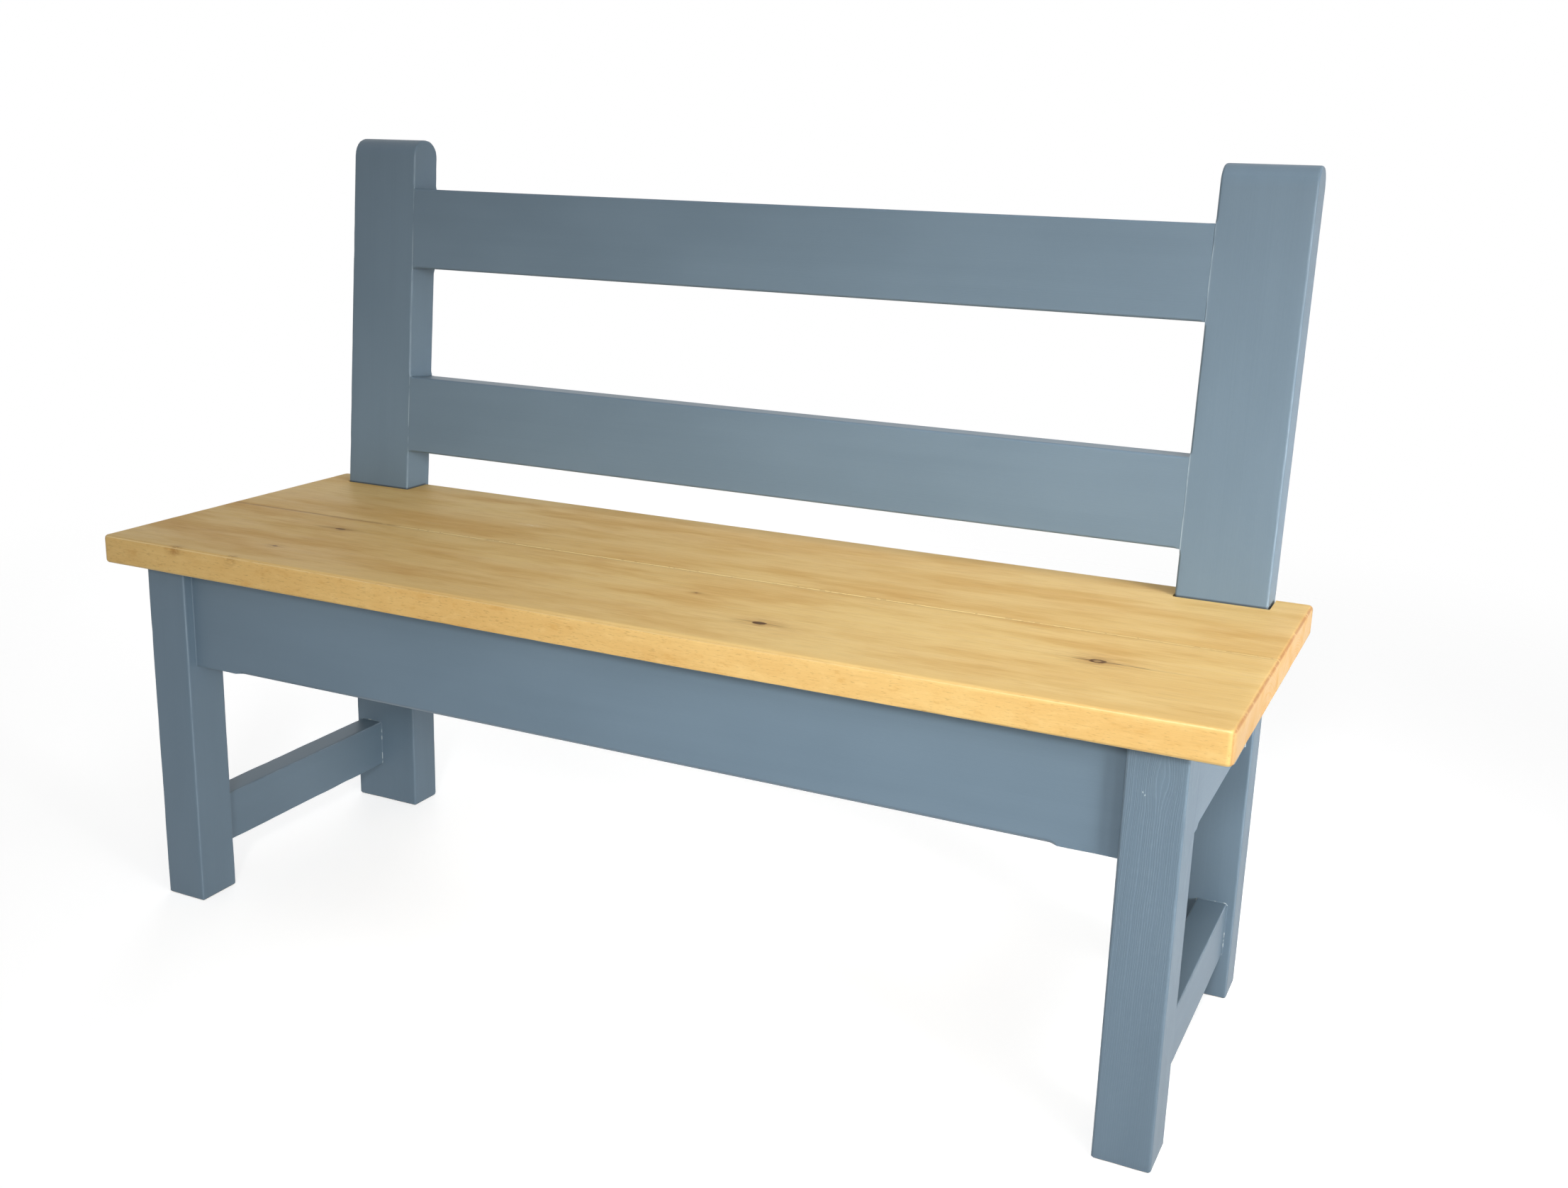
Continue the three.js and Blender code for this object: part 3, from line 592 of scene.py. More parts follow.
class Wood(Finish):
    """The finish of a plank, with the plank's grain as fields."""

    def __init__(self, name, pith, ring, wander, knots=()):
        super().__init__(bpy.data.materials.new(name))
        board = self.attribute("board")
        self.place = self.vector_maths("ADD", board, self.attribute("plank"))
        self.along, self.across, self.through = self.parts(board)
        self.ends, self.edges, faces = self.parts(self.attribute("inset"))
        self.side_arris, self.end_arris = self.to_arrises(self.ends, self.edges, faces)
        self.late = self.rings(pith, ring, wander, knots)

    def grain(self, scales, detail=2.0, roughness=0.5):
        """Noise in the plank's own coordinates."""
        return self.noise(self.place, scales, detail, roughness)

    def clouds(self, low, high, scales, detail=2.0, roughness=0.5):
        """Grain with more contrast: 0 where it is below low and 1 where it is above high."""
        return self.smooth(self.grain(scales, detail, roughness), low, high)

    def rings(self, pith, ring, wander, knots):
        """0 in the pale part of a ring and 1 in the dark."""
        across = self.across
        for knot in knots:
            pull = self.near(knot, SWEEP_ALONG, SWEEP_ACROSS) * 0.9
            across = across - (across - knot["across"]) * pull
        drift = (self.grain((0.9, 2, 2), 1.0) - 0.5) * PITH_DRIFT
        waves = (self.grain(wander["waves"]) - 0.5) * wander["reach"]
        sideways = across - pith[0] + drift
        deep = self.through - pith[1] + drift * 0.6
        radius = (sideways * sideways + deep * deep) ** 0.5 + waves
        inputs = {"W": radius * YEARS_PER_METRE, "Detail": 1.0}
        years = self.node("ShaderNodeTexNoise", {"noise_dimensions": "1D"}, inputs, "Fac")
        phase = self.maths("FRACT", (radius + years * wander["years"]) / ring)
        fall = self.fade(phase, 0.88, 1.0)
        return self.smooth(phase, 0.25, 0.85) * fall

    def near(self, knot, reach_along, reach_across):
        """1 at a knot and fading to 0, so many knot sizes along and across."""
        u = (self.along - knot["along"]) / (knot["length"] * reach_along)
        v = (self.across - knot["across"]) / (knot["width"] * reach_across)
        return self.bell(u * u + v * v)


def mark_at(node, x, y, length, width, rim, heart=0.0, left=30, right=30, streak=0.5):
    """A knot or stain. Its place on the bench, in metres, becomes one on the plank; sizes in mm."""
    low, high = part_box(node)
    middle = (low + high) / 2
    return {
        "along": x - middle.x, "across": y - middle.y, "length": length * MM, "width": width * MM,
        "rim": rim, "heart": heart, "left": left * MM, "right": right * MM, "streak": streak,
    }


print("rings part round a knot over", SWEEP_ALONG, "knot lengths")

# %% [markdown]
# The seat is honey-coloured pine under wax. Its clouds are stretched along the grain: pale
# sapwood, warmer heartwood and wax that soaked in unevenly. Finer streaks are fibres, and short
# dark dashes are wax that stayed in the pores, thickest on the planed front edge. A knot has a
# feathered brown halo, a dark rim, sometimes a paler heart, and a dark streak that tapers away
# along the grain on both sides. The arrises are worn: pale along the grain, where sanding opened
# the wood and a painted highlight lies over it, and red-brown across the ends, which drink more
# wax. The glued joint shows as a thin line with a faint painted shadow beside it, dark near the
# left-hand end and elsewhere a pale painted highlight. Under the seat nobody waxed it, and the
# planer's fine ripples are still there.

# %% Mix the colours of the seat
PALE = (0.81, 0.575, 0.23, 1.0)
HONEY = (0.715, 0.452, 0.15, 1.0)
AMBER = (0.58, 0.30, 0.075, 1.0)
LATE_WOOD = (0.42, 0.235, 0.075, 1.0)
DARK_KNOT = (0.085, 0.030, 0.005, 1.0)
BLACK_KNOT = (0.020, 0.006, 0.001, 1.0)
KNOT_HEART = (0.40, 0.25, 0.10, 1.0)
WORN_PALE = (0.90, 0.74, 0.46, 1.0)
WORN_RED = (0.33, 0.135, 0.042, 1.0)
ARRIS_WORN_AND_HIGHLIGHT = (0.88, 0.68, 0.35, 1.0)
END_GRAIN = (0.54, 0.36, 0.185, 1.0)
BARE_PINE = (0.69, 0.51, 0.28, 1.0)
PALE_GOLD = (0.90, 0.68, 0.30, 1.0)
GLUE_DARK = (0.40, 0.21, 0.065, 1.0)
SEAT_RING = 3.4 * MM
SEAT_WANDER = {"waves": (3, 22, 22), "reach": 6 * MM, "years": 12 * MM}
JOINT_DARK_END = (-0.40, -0.375)
JOINT_FADE = (0.30, 0.55)
UNDERSIDE = (-16 * MM, -14 * MM)
PLANER_STEP = 5 * MM
print("growth rings of the seat are", round(SEAT_RING / MM, 1), "mm wide")


# %% Draw knots, stains and the glued joint
def draw_knot(wood, knot, colour):
    """Draws one knot over a colour: halo, streak, rim, core and heart."""
    ragged = (wood.grain((110, 300, 300), 3.0) - 0.5) * 0.8
    u = (wood.along - knot["along"]) / knot["length"]
    v = (wood.across - knot["across"]) / knot["width"]
    distance = (u * u + v * v) ** 0.5 + ragged
    rim = wood.fade(distance, 0.85, 1.15)
    heart = wood.fade(distance, 0.3, 0.65) * knot["heart"]
    bend = (wood.grain((14, 2, 2), 1.0) - 0.5) * (5 * MM)
    to_right = wood.maths("MAXIMUM", wood.along - knot["along"], 0.0) / knot["right"]
    to_left = wood.maths("MAXIMUM", knot["along"] - wood.along, 0.0) / knot["left"]
    run = to_right + to_left
    taper = wood.bell(run * run)
    thin = (wood.across + bend - knot["across"]) / (0.3 * MM + 1.2 * MM * taper)
    torn = 0.45 + 0.55 * wood.clouds(0.4, 0.6, (60, 300, 300), 3.0)
    streak = wood.bell(thin * thin) * taper * torn * knot["streak"]
    feather = wood.clouds(0.35, 0.65, (40, 420, 420), 3.0)
    core = wood.fade(distance, 0.1, 0.85) * (1.0 - knot["heart"])
    return wood.layered(
        colour,
        (AMBER, wood.near(knot, 2.6, 2.0) * 0.35),
        (LATE_WOOD, wood.near(knot, 3.6, 3.0) * feather * 0.9),
        (DARK_KNOT, streak),
        (DARK_KNOT, rim * knot["rim"]),
        (BLACK_KNOT, core * knot["rim"]),
        (KNOT_HEART, heart),
    )


def draw_stain(wood, stain, colour):
    """Draws one ragged stain near the top face over a colour."""
    ragged = wood.clouds(0.35, 0.6, (150, 300, 300), 3.0, 0.6)
    near_top = wood.smooth(wood.through, 3 * MM, 11 * MM)
    spot = wood.near(stain, 1.0, 1.0) * ragged * near_top
    marks = (WORN_PALE, spot * stain["heart"]), (LATE_WOOD, spot * stain["rim"])
    return wood.layered(colour, *marks)


def joint_line(wood, colour, to_joint):
    """Draws the glued joint, this far from a place, over a colour: a faint painted shadow beside
    it, and a thin line, dark near the left-hand end and elsewhere a pale painted highlight.
    """
    broken = wood.clouds(0.28, 0.44, (45, 6, 6), 3.0, 0.6)
    wavering = (wood.grain((70, 4, 4), 2.0) - 0.5) * 1.6 * MM
    # line is the thin joint line, pale with a painted highlight; shade is a faint painted shadow
    # beside it
    line = wood.fade(to_joint + wavering, 0.9 * MM, 2.4 * MM)
    shade = wood.fade(to_joint + wavering, 1.5 * MM, 6 * MM)
    dark = wood.fade(wood.along, *JOINT_DARK_END)
    strength = 0.95 - 0.5 * wood.smooth(wood.along, *JOINT_FADE)
    specks = wood.clouds(0.58, 0.66, (120, 20, 20))
    # The dark joint line: specks of wax all along it, and darker near the left-hand end
    waxed = wood.maths("MAXIMUM", dark * (0.2 + 0.4 * broken), specks * 0.55)
    return wood.layered(
        colour,
        (LATE_WOOD, shade * (0.1 + 0.25 * broken)),
        (PALE_GOLD, line * broken * (1.0 - dark) * strength),
        (GLUE_DARK, line * waxed),
    )


print("wax darkens the joint to the left of", JOINT_DARK_END[1], "m")


# %% Wax the pine
def clouded_pine(wood):
    """Pale wood under uneven wax: its colour, how warm its tint is, and its fibres."""
    cloud = wood.clouds(0.36, 0.64, (2.2, 11, 11), 2.0)
    tint = wood.clouds(0.42, 0.70, (6, 26, 26), 3.0, 0.55)
    patch = wood.clouds(0.46, 0.72, (16, 64, 64), 3.0, 0.6)
    fibre = wood.grain((24, 650, 650), 3.0, 0.6)
    streaks = wood.clouds(0.35, 0.75, (4, 120, 120), 3.0, 0.6)
    ticks = wood.clouds(0.5, 0.72, (26, 240, 240), 3.0, 0.65)
    sapwood = wood.fade(wood.edges, 10 * MM, 38 * MM)
    colour = wood.layered(
        PALE,
        (HONEY, cloud * 0.6 + streaks * 0.12),
        (AMBER, tint * 0.42 + patch * 0.22 + ticks * 0.16),
        (LATE_WOOD, wood.late * (0.01 + 0.06 * tint)),
        (LATE_WOOD, wood.smooth(fibre, 0.48, 0.78) * 0.36),
        (WORN_PALE, wood.smooth(0.9 - fibre, 0.48, 0.72) * 0.16),
        (PALE, sapwood * 0.42),
    )
    return colour, tint, fibre


def planed_edge(wood, colour, dash):
    """Mottles the long edges of the seat, whose pores hold more wax."""
    on_edge = wood.fade(wood.edges, 1.5 * MM, 5 * MM)
    mottle = wood.grain((45, 110, 110), 3.0, 0.65)
    pale, brown = wood.smooth(mottle, 0.5, 0.72), wood.smooth(0.95 - mottle, 0.5, 0.68)
    return wood.layered(
        colour,
        (PALE_GOLD, pale * on_edge * 0.34),
        (AMBER, brown * on_edge * 0.42),
        (AMBER, on_edge * 0.26),
        (LATE_WOOD, dash * (0.06 + 0.45 * on_edge)),
    )


def ends_and_arrises(wood, colour, tint):
    """Darkens the end grain, and wears the arrises red across it and pale along it, with a painted
    highlight.
    """
    on_end = wood.fade(wood.ends, 0.8 * MM, 2.6 * MM)
    end_colour = wood.mixed(END_GRAIN, AMBER, wood.late * 0.35 + tint * 0.35)
    broken = wood.clouds(0.28, 0.5, (35, 90, 90), 4.0, 0.7)
    # Pale along the grain: wear, and a painted highlight on the arris
    side_worn_and_highlight = wood.fade(wood.side_arris, 1.1 * MM, 2.3 * MM) * broken
    end_worn = wood.fade(wood.end_arris, 1.2 * MM, 3.8 * MM) * broken
    arrises = (ARRIS_WORN_AND_HIGHLIGHT, side_worn_and_highlight * 0.95), (WORN_RED, end_worn * 0.8)
    return wood.layered(colour, (end_colour, on_end * 0.85), *arrises)


def waxed_pine(name, pith, joint_side, knots, stains):
    """Pine whose glued joint is at one side of the plank: 1 at its far edge, -1 at its near one."""
    wood = Wood(name, pith, SEAT_RING, SEAT_WANDER, knots)
    colour, tint, fibre = clouded_pine(wood)
    for stain in stains:
        colour = draw_stain(wood, stain, colour)
    for knot in knots:
        colour = draw_knot(wood, knot, colour)
    dash = wood.clouds(0.56, 0.72, (130, 850, 850), 2.0, 0.6)
    colour = planed_edge(wood, colour, dash)
    colour = ends_and_arrises(wood, colour, tint)
    low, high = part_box("front_seat_board" if joint_side > 0 else "rear_seat_board")
    colour = joint_line(wood, colour, (high.y - low.y) / 2 - wood.across * joint_side)
    under = wood.fade(wood.through, *UNDERSIDE)
    colour = wood.mixed(colour, BARE_PINE, under * 0.8)
    ripple = wood.maths("SINE", wood.along * (2 * math.pi / PLANER_STEP))
    roughness = 0.47 + 0.12 * tint + 0.1 * wood.late + 0.25 * under
    height = 0.4 * wood.late + 0.35 * fibre - 0.3 * dash + 0.25 * under * ripple
    return wood.close_wood(colour, roughness, 0.2, height, 0.06 * MM)


FRONT = "front_seat_board"
KNOTS = [
    mark_at(FRONT, 0.1685, -0.1610, 7.5, 4.6, rim=0.95, heart=0.12, left=22, right=34),
    mark_at(FRONT, 0.4915, -0.1105, 8, 6, rim=0.9, heart=0.9, left=34, right=70, streak=0.9),
    mark_at(FRONT, -0.4310, -0.0650, 7, 3, rim=0.6, left=30, right=26, streak=0.6),
    mark_at(FRONT, -0.4390, -0.1680, 3.2, 2.4, rim=0.6, left=6, right=8, streak=0.3),
    mark_at(FRONT, 0.0630, -0.0950, 2, 1.5, rim=0.5, left=5, right=6, streak=0.2),
]
STAINS = [
    mark_at(FRONT, -0.5289, -0.2303, 9, 7, rim=1.0),
    mark_at(FRONT, -0.4453, -0.2314, 7, 6, rim=0.9),
    mark_at(FRONT, 0.6342, -0.0146, 6, 3, rim=0.5),
]
PALE_PATCH = mark_at("rear_seat_board", -0.2514, 0.0701, 16, 5, rim=0.0, heart=0.6)
front_pine = waxed_pine("waxed_pine_front", (0.035, -0.085), 1, KNOTS, STAINS)
rear_pine = waxed_pine("waxed_pine_rear", (-0.02, -0.11), -1, [], [PALE_PATCH])
print("knots in the seat:", len(KNOTS))

# %% [markdown]
# The frame's paint is blue-grey and satin. A brush leaves fine ridges along each board, some
# strokes a little glossier than others, and thins over the arrises, where the pale wood below
# lightens it; that pale line on the arrises is also a painted highlight. Softwood moves under
# paint, so the rings telegraph through. On the near leg the front face is cut square to the rings
# and its grain stands up plainly, while its side is smooth: the ring maths gives both from one
# pith placed beside the leg. It also has two tiny chips. A painted shade darkens the paint just
# under the seat, round the posts where they pass it, and in the corner between front apron and
# near leg. The ends that stand on the floor are bare.

# %% Brush the paint
PAINT_DEEP = (0.124, 0.180, 0.231, 1.0)
PAINT_LIGHT = (0.154, 0.218, 0.276, 1.0)
# Pale paint over arrises and raised grain; on the arrises it is also a painted highlight
PAINT_THIN = (0.34, 0.42, 0.48, 1.0)
# Dark paint for the painted shade under the seat, round the posts and in the apron corner
PAINT_SHADE = (0.040, 0.044, 0.046, 1.0)
PAINT_CHIP = (0.44, 0.52, 0.57, 1.0)
STILL = {"waves": (3, 22, 22), "reach": 5 * MM, "years": 12 * MM}
WAVY = {"waves": (16, 34, 34), "reach": 3 * MM, "years": 3 * MM}
PAINTED_RING = 2 * MM
NOWHERE = 9.0
# The painted shade under the seat stops between these depths, a little behind the posts' fronts
SHADE_STOPS = (post_low.y + 38 * MM, post_low.y + 44 * MM)


def painted_shade(finish, corner_x):
    """1 where shade is painted: just under the seat, round the posts on it, and at corner_x."""
    x, y, z = finish.parts(finish.object_place())
    under_seat = finish.smooth(z, seat_low.z - 6 * MM, seat_low.z - 0.5 * MM)
    over_seat = finish.fade(z, seat_high.z + 0.4 * MM, seat_high.z + 2.2 * MM)
    on_front = finish.fade(y, *SHADE_STOPS)
    to_corner = (x - corner_x) / (1.2 * MM)
    corner = finish.bell(to_corner * to_corner)
    return finish.maths("MAXIMUM", under_seat * over_seat * on_front, corner * 0.8)


def chip(wood, place):
    """1 on a tiny chip in the paint, at this place along and across the board."""
    u, v = wood.along - place[0], wood.across - place[1]
    ragged = (wood.grain((900, 900, 900), 2.0) - 0.5) * 1.2 * MM
    distance = (u * u * 0.4 + v * v) ** 0.5 + ragged
    return wood.fade(distance, 0.35 * MM, 0.7 * MM)


def brushed_paint(
    name, pith, wander, relief, thin_paint_and_highlight, feet=False, corner_x=NOWHERE, knots=(), chips=()
):
    """Paint over pine whose rings stand up: relief is for the board's foot and for its top."""
    wood = Wood(name, pith, PAINTED_RING, wander, knots)
    bristle = wood.grain((5, 420, 420), 3.0)
    stroke = wood.grain((2.4, 60, 60), 2.0)
    cloud = wood.grain((6, 14, 14), 2.0)
    peel = wood.grain((150, 260, 260), 2.0)
    tone = wood.smooth(0.3 * stroke + 0.7 * cloud, 0.3, 0.7)
    broken = wood.clouds(0.28, 0.6, (30, 30, 30), 3.0, 0.6)
    arris = wood.maths("MINIMUM", wood.side_arris, wood.end_arris)
    # Paint thinned over the arrises, and a painted highlight along them
    thin = wood.fade(arris, 0.2 * MM, 1.7 * MM) * broken
    upper = wood.smooth(wood.along, -0.2, 0.05)
    foot, top = relief
    ridges = wood.late * (foot + (top - foot) * upper)
    colour = wood.layered(
        PAINT_DEEP,
        (PAINT_LIGHT, 0.2 + tone * 0.45 + 0.15 * bristle),
        (PAINT_THIN, thin * thin_paint_and_highlight),
        (PAINT_THIN, ridges * wood.smooth(peel, 0.45, 0.7) * 0.07),
        # Painted shade: darker just under the seat, round the posts where they pass it, and at
        # corner_x
        (PAINT_SHADE, painted_shade(wood, corner_x) * 0.8),
        *[(PAINT_CHIP, chip(wood, place)) for place in chips],
    )
    roughness = 0.38 + 0.09 * stroke + 0.05 * bristle
    if feet:
        lower_end = wood.fade(wood.along, -0.1, 0.0)
        bare = wood.fade(wood.ends, 0.3 * MM, 0.9 * MM) * lower_end
        colour = wood.mixed(colour, wood.mixed(BARE_PINE, LATE_WOOD, wood.late * 0.5), bare)
        roughness = roughness + 0.3 * bare
    height = 0.14 * bristle + 0.3 * stroke + 0.12 * peel + ridges
    return wood.close_wood(colour, roughness, 0.32, height, 0.12 * MM)


SWIRL = {"along": 0.175, "across": 0.0056, "length": 7 * MM, "width": 4 * MM}
FLAT = (0.16, 0.16)
EVEN = (0.2, 0.2)
RIDGED = (0.4, 1.3)
CHIPS = [(0.160, -0.0102), (0.1578, -0.0082)]
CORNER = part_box("front_right_leg")[0].x
smooth_paint = brushed_paint(
    "blue_grey_paint_smooth", (0.03, -0.12), STILL, FLAT, thin_paint_and_highlight=0.55, corner_x=CORNER
)
leg_paint = brushed_paint(
    "blue_grey_paint_legs", (0.09, -0.07), STILL, EVEN, thin_paint_and_highlight=0.85, feet=True
)
grainy_paint = brushed_paint(
    "blue_grey_paint_grainy", (-0.21, 0.01), WAVY, RIDGED, thin_paint_and_highlight=0.25, feet=True,
    knots=[SWIRL], chips=CHIPS,
)
print("paints:", smooth_paint.name, leg_paint.name, grainy_paint.name)

# %% [markdown]
# The cleats are sawn strips that nobody sees. They are bare pine, with the saw's marks across the
# grain, and so are the dowels.

# %% Saw the raw pine
def raw_pine(name, pith):
    wood = Wood(name, pith, 3 * MM, STILL)
    saw = wood.grain((800, 9, 9), 2.0)
    fibre = wood.grain((14, 500, 500), 3.0)
    colour = wood.mixed(BARE_PINE, LATE_WOOD, wood.late * 0.4 + 0.12 * fibre)
    height = 0.6 * saw + 0.25 * fibre + 0.2 * wood.late
    return wood.close_wood(colour, 0.62 + 0.2 * fibre, 0.3, height, 0.15 * MM)


bare_pine = raw_pine("raw_pine_sawn", (0.05, -0.04))
print("raw pine:", bare_pine.name)

# %% Dress the boards
BOARDS = [
    ("X", smooth_paint, ["front_apron", "rear_apron", "top_back_rail", "lower_back_rail"]),
    ("Y", smooth_paint, ["left_side_apron", "right_side_apron"]),
    ("Y", smooth_paint, ["left_stretcher", "right_stretcher"]),
    ("Z", leg_paint, ["front_left_leg", "rear_left_post", "rear_right_post"]),
    ("Z", grainy_paint, ["front_right_leg"]),
    ("X", front_pine, ["front_seat_board"]),
    ("X", rear_pine, ["rear_seat_board"]),
    ("X", bare_pine, ["front_cleat", "rear_cleat"]),
    ("Y", bare_pine, ["left_cleat", "right_cleat"]),
]
for grain, finish, nodes in BOARDS:
    for node in nodes:
        worked_board(node, grain, finish)
print("boards dressed:", sum(len(nodes) for grain, finish, nodes in BOARDS))

# %% [markdown]
# Screws and dowels are turned shapes: a profile goes round an axis. One helper makes any of them
# from a grid, whose columns go round and whose rows go up. A wood screw is cold-headed and then
# rolled between dies, so its thread is a helix of thin, sharp ridges. On the grid that is one sum,
# the height over the pitch less the part of a turn. The cross recess of its head is sunk along
# four of the columns. A dowel pin has pressed flutes, to let the glue out, and chamfered ends.
#
# Each is placed on points taken from the plain pieces, with the way it points stored on the point.

# %% Turn shapes on a lathe
TURN = 2 * math.pi
SEAM = 0.01 * MM


class Lathe:
    """A grid bent round the z axis of a tree: the fields of its columns and rows."""

    def __init__(self, tree, columns, rows):
        self.tree = tree
        inputs = {"Size X": 1.0, "Size Y": 1.0, "Vertices X": columns + 1, "Vertices Y": rows + 1}
        self.grid = tree.node("GeometryNodeMeshGrid", {}, inputs, "Mesh")
        flat_x, flat_y, _ = tree.parts(tree.node("GeometryNodeInputPosition", {}, {}, "Position"))
        self.round = flat_x + 0.5
        self.row = (flat_y + 0.5) * float(rows)

    def ramp(self, first, last, start, end):
        """From start to end between two rows, and level outside them."""
        return self.tree.remap(self.row, float(first), float(last), start, end)

    def turned(self, radius, height):
        """The closed shape with this radius and height at each column and row."""
        tree = self.tree
        angle = self.round * TURN
        x = radius * tree.maths("COSINE", angle)
        y = radius * tree.maths("SINE", angle)
        inputs = {"Geometry": self.grid, "Position": tree.vector(x, y, height)}
        shape = tree.node("GeometryNodeSetPosition", {}, inputs, "Geometry")
        inputs = {"Geometry": shape, "Distance": SEAM}
        return tree.node("GeometryNodeMergeByDistance", {}, inputs, "Geometry")


def on_points(tree, shape):
    """Copies of a shape on the points of the input, pointing the way each point says."""
    inputs = {"Vector": tree.attribute("way")}
    turn = tree.node("FunctionNodeAlignRotationToVector", {"axis": "Z"}, inputs, "Rotation")
    inputs = {"Points": tree.input("Geometry"), "Instance": shape, "Rotation": turn}
    return tree.node("GeometryNodeInstanceOnPoints", {}, inputs, "Instances")


print("a turned shape closes over gaps of", round(SEAM / MM, 2), "mm")

# %% Shape the screw and the dowel
SCREW_SIZES = {
    "Length": 50 * MM, "Shank": 2 * MM, "Core": 1.45 * MM, "Crest": 2.15 * MM, "Head": 4 * MM,
    "Head depth": 2.4 * MM, "Pitch": 2.4 * MM, "Recess": 1.3 * MM,
}
HEAD_ROWS = 8
CONE_ROWS = 12
SCREW_ROWS = 118
SCREW_COLUMNS = 16
THREAD_START = (34, 40)
POINT_ROWS = 14
RECESS_ROWS = 5
RECESS_ARMS = 4.0
# Whole turns added to the thread's sum, which keep it above 0 and change nothing else
SPARE_TURNS = 8.0


def screw_tree():
    """A countersunk screw that starts at its head and points upwards."""
    tree = Tree("wood screw", SCREW_SIZES)
    lathe = Lathe(tree, SCREW_COLUMNS, SCREW_ROWS)
    head, shank = tree.input("Head"), tree.input("Shank")
    rise = lathe.ramp(HEAD_ROWS, CONE_ROWS, 0.0, tree.input("Head depth"))
    body = tree.input("Length") - tree.input("Head depth")
    height = rise + lathe.ramp(CONE_ROWS, SCREW_ROWS - 1, 0.0, body)
    turns = height / tree.input("Pitch") - lathe.round + SPARE_TURNS
    ridge = tree.maths("PINGPONG", turns, 0.5) * 2.0
    threaded = lathe.ramp(*THREAD_START, 0.0, 1.0)
    point = lathe.ramp(SCREW_ROWS - POINT_ROWS, SCREW_ROWS - 1, 1.0, 0.2)
    thread = tree.input("Core") + (tree.input("Crest") - tree.input("Core")) * ridge ** 3.0
    tip = lathe.ramp(SCREW_ROWS - 1, SCREW_ROWS, 1.0, 0.0)
    bar = (shank + (thread - shank) * threaded) * point * tip
    cone = lathe.ramp(HEAD_ROWS, CONE_ROWS, 1.0, 0.0)
    radius = (bar + (head - bar) * cone) * lathe.ramp(0, HEAD_ROWS, 0.0, 1.0)
    arms = tree.maths("GREATER_THAN", tree.maths("COSINE", lathe.round * TURN * RECESS_ARMS), 0.9)
    middle = lathe.ramp(0, 1, 1.0, 0.0)
    slope = lathe.ramp(0, RECESS_ROWS, 1.0, 0.0)
    recess = tree.maths("MAXIMUM", arms, middle) * slope ** 0.6 * tree.input("Recess")
    return tree.close(on_points(tree, lathe.turned(radius, height + recess)))


DOWEL_SIZES = {"Length": 60 * MM, "Radius": 4.9 * MM, "Flute": 0.45 * MM, "Chamfer": 1.2 * MM}
FLUTES = 16
DOWEL_ROWS = 10


def dowel_tree():
    """A fluted dowel pin that starts at one end and points upwards."""
    tree = Tree("fluted dowel", DOWEL_SIZES)
    lathe = Lathe(tree, FLUTES * 4, DOWEL_ROWS)
    length, chamfer = tree.input("Length"), tree.input("Chamfer")
    bottom, top = (1, 2), (DOWEL_ROWS - 2, DOWEL_ROWS - 1)
    height = lathe.ramp(*bottom, 0.0, chamfer)
    height = height + lathe.ramp(2, DOWEL_ROWS - 2, 0.0, length - chamfer - chamfer)
    height = height + lathe.ramp(*top, 0.0, chamfer)
    wave = tree.maths("COSINE", lathe.round * (TURN * FLUTES)) * 0.5 + 0.5
    widest = tree.input("Radius") - tree.input("Flute") * wave
    cut = lathe.ramp(*bottom, 1.0, 0.0) + lathe.ramp(*top, 0.0, 1.0)
    last = lathe.ramp(DOWEL_ROWS - 1, DOWEL_ROWS, 1.0, 0.0)
    closed = lathe.ramp(0, 1, 0.0, 1.0) * last
    return tree.close(on_points(tree, lathe.turned((widest - chamfer * cut) * closed, height)))


print("the screw has", SCREW_ROWS, "rows of points and the dowel has", FLUTES, "flutes")

# %% Drive the screws and the dowels
SCREW_WAYS = {"front": (0, -1, 0), "rear": (0, 1, 0), "left": (-1, 0, 0), "right": (1, 0, 0)}


def start_of(node, way):
    """The middle of the end of a straight piece that it points away from."""
    low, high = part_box(node)
    return (low + high) / 2 - Vector(way) * max(high - low) / 2


def placed(name, nodes, ways, group, finish, sizes):
    """One piece for all these plain pieces: a copy of a shape where each of them starts."""
    mesh = bpy.data.meshes.new(name + "_points")
    mesh.from_pydata([start_of(node, way) for node, way in zip(nodes, ways)], [], [])
    store_vector(mesh, "way", np.array(ways))
    piece = grown(name, mesh, group, finish, sizes)
    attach(piece, "root")
    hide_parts(*nodes)
    print(name, "made:", len(nodes), "with", len(piece.data.polygons), "faces")


def screw_way(node):
    """Up into the seat, or outwards into the apron that the name starts with."""
    return (0, 0, 1) if "seat" in node else SCREW_WAYS[node.split("_")[0]]


zinc = new_finish("zinc_screw_plated")
wear = zinc.noise(zinc.object_place(), (900, 900, 900))
inputs = {"Base Color": (0.48, 0.46, 0.38, 1.0), "Metallic": 1.0, "Roughness": 0.3 + 0.2 * wear}
zinc_plate = zinc.close_solid(inputs)
screw_nodes = sorted(node for node in SLOTS if "screw" in node)
screw_ways = [screw_way(node) for node in screw_nodes]
placed("screws", screw_nodes, screw_ways, screw_tree(), zinc_plate, SCREW_SIZES)

dowel_nodes = sorted(node for node in SLOTS if "dowel" in node)
dowel_ways = [(0, 1, 0)] * len(dowel_nodes)
placed("dowels", dowel_nodes, dowel_ways, dowel_tree(), bare_pine, DOWEL_SIZES)

# %% [markdown]
# Where two painted boards meet, the brush leaves a bead of paint in the corner. It isn't even: it
# swells and dies away, and at the rear corners it holds spots of pale filler. So the corners are
# drawn as lines between the boards' real faces, and a tree sweeps a small circle along them, its
# radius and its place wandering with a noise. It holds on to the corner, so only the quarter that
# stands out of it can be seen.

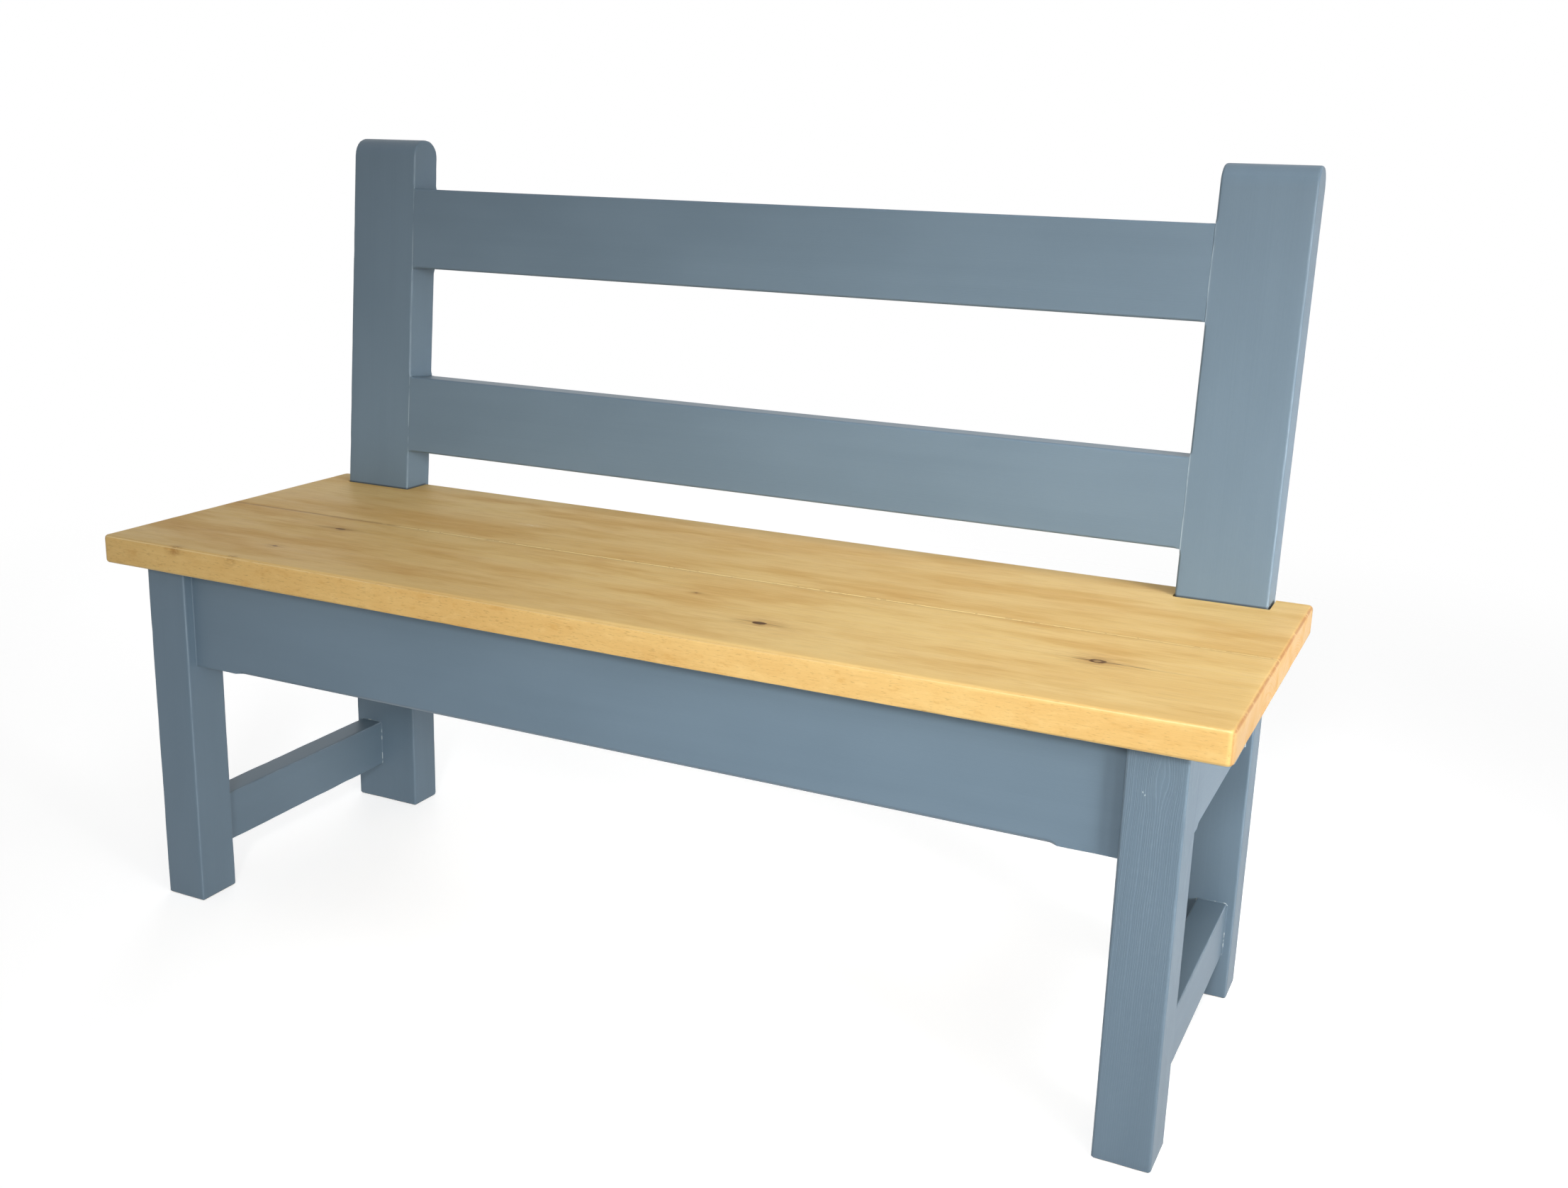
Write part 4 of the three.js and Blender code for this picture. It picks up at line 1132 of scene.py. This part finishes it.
# %% Leave beads of paint in the corners
BEAD_SIZES = {"Bead": 0.65 * MM, "Step": 4 * MM, "Swell length": 30 * MM, "Wander": 0.25 * MM}
BEAD_PAINT = (0.138, 0.196, 0.245, 1.0)
BEAD_FILLER = (0.50, 0.55, 0.56, 1.0)


def bead_tree():
    """Sweeps a circle of changing size along the edges of the input."""
    tree = Tree("paint bead", BEAD_SIZES)
    line = tree.node("GeometryNodeMeshToCurve", {}, {"Mesh": tree.input("Geometry")}, "Curve")
    inputs = {"Curve": line, "Length": tree.input("Step")}
    line = tree.node("GeometryNodeResampleCurve", {"mode": "LENGTH"}, inputs, "Curve")
    swell = tree.noise(tree.input("Swell length"), 2.0)
    shift = tree.noise(tree.input("Swell length"), 2.0, "Color")
    centred = tree.vector_maths("SUBTRACT", shift, (0.5, 0.5, 0.5))
    line = tree.pushed(line, centred, tree.input("Wander"))
    size = tree.remap(swell, 0.38, 0.72, 0.25, 1.3)
    line = tree.node("GeometryNodeSetCurveRadius", {}, {"Curve": line, "Radius": size}, "Curve")
    inputs = {"Resolution": 8, "Radius": tree.input("Bead")}
    circle = tree.node("GeometryNodeCurvePrimitiveCircle", {}, inputs, "Curve")
    inputs = {"Curve": line, "Profile Curve": circle, "Fill Caps": True}
    return tree.close(tree.node("GeometryNodeCurveToMesh", {}, inputs, "Mesh"))


def upright_line(x, y, board):
    """A vertical line over a board's width."""
    low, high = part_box(board)
    return [(x, y, low.z + MM), (x, y, high.z - MM)]


def section_loop(y, board):
    """The outline of a stretcher's end on the upright it enters."""
    low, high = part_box(board)
    across, up = (low.x, high.x, high.x, low.x, low.x), (low.z, low.z, high.z, high.z, low.z)
    return [(x, y, z) for x, z in zip(across, up)]


def corner_lines():
    lines = []
    for side in ("left", "right"):
        leg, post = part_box(f"front_{side}_leg"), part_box(f"rear_{side}_post")
        inner, outer = (1, 0) if side == "left" else (0, 1)
        lines.append(upright_line(leg[inner].x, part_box("front_apron")[0].y, "front_apron"))
        lines.append(upright_line(post[inner].x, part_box("rear_apron")[1].y, "rear_apron"))
        for y in (leg[1].y, post[0].y):
            apron = f"{side}_side_apron"
            lines.append(upright_line(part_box(apron)[outer].x, y, apron))
            lines.append(section_loop(y, f"{side}_stretcher"))
    return lines


def line_mesh(name, lines):
    places = [place for line in lines for place in line]
    starts = np.cumsum([0] + [len(line) for line in lines])
    spans = [range(first, last - 1) for first, last in zip(starts, starts[1:])]
    edges = [(point, point + 1) for span in spans for point in span]
    mesh = bpy.data.meshes.new(name)
    mesh.from_pydata(places, edges, [])
    return mesh


bead_finish = new_finish("blue_grey_paint_bead")
bead_place = bead_finish.object_place()
bead_filler = bead_finish.smooth(bead_finish.noise(bead_place, (90, 90, 90)), 0.52, 0.6)
bead_rear = bead_finish.smooth(bead_finish.parts(bead_place)[1], 0.0, 0.02)
bead_colour = bead_finish.mixed(BEAD_PAINT, BEAD_FILLER, bead_filler * bead_rear)
inputs = {"Base Color": bead_colour, "Roughness": 0.34}
bead_paint = bead_finish.close_solid(inputs)
bead_lines = corner_lines()
beads = grown("paint_beads", line_mesh("corners", bead_lines), bead_tree(), bead_paint, BEAD_SIZES)
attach(beads, "root")
print("beads of paint in", len(bead_lines), "corners:", len(beads.data.polygons), "faces")
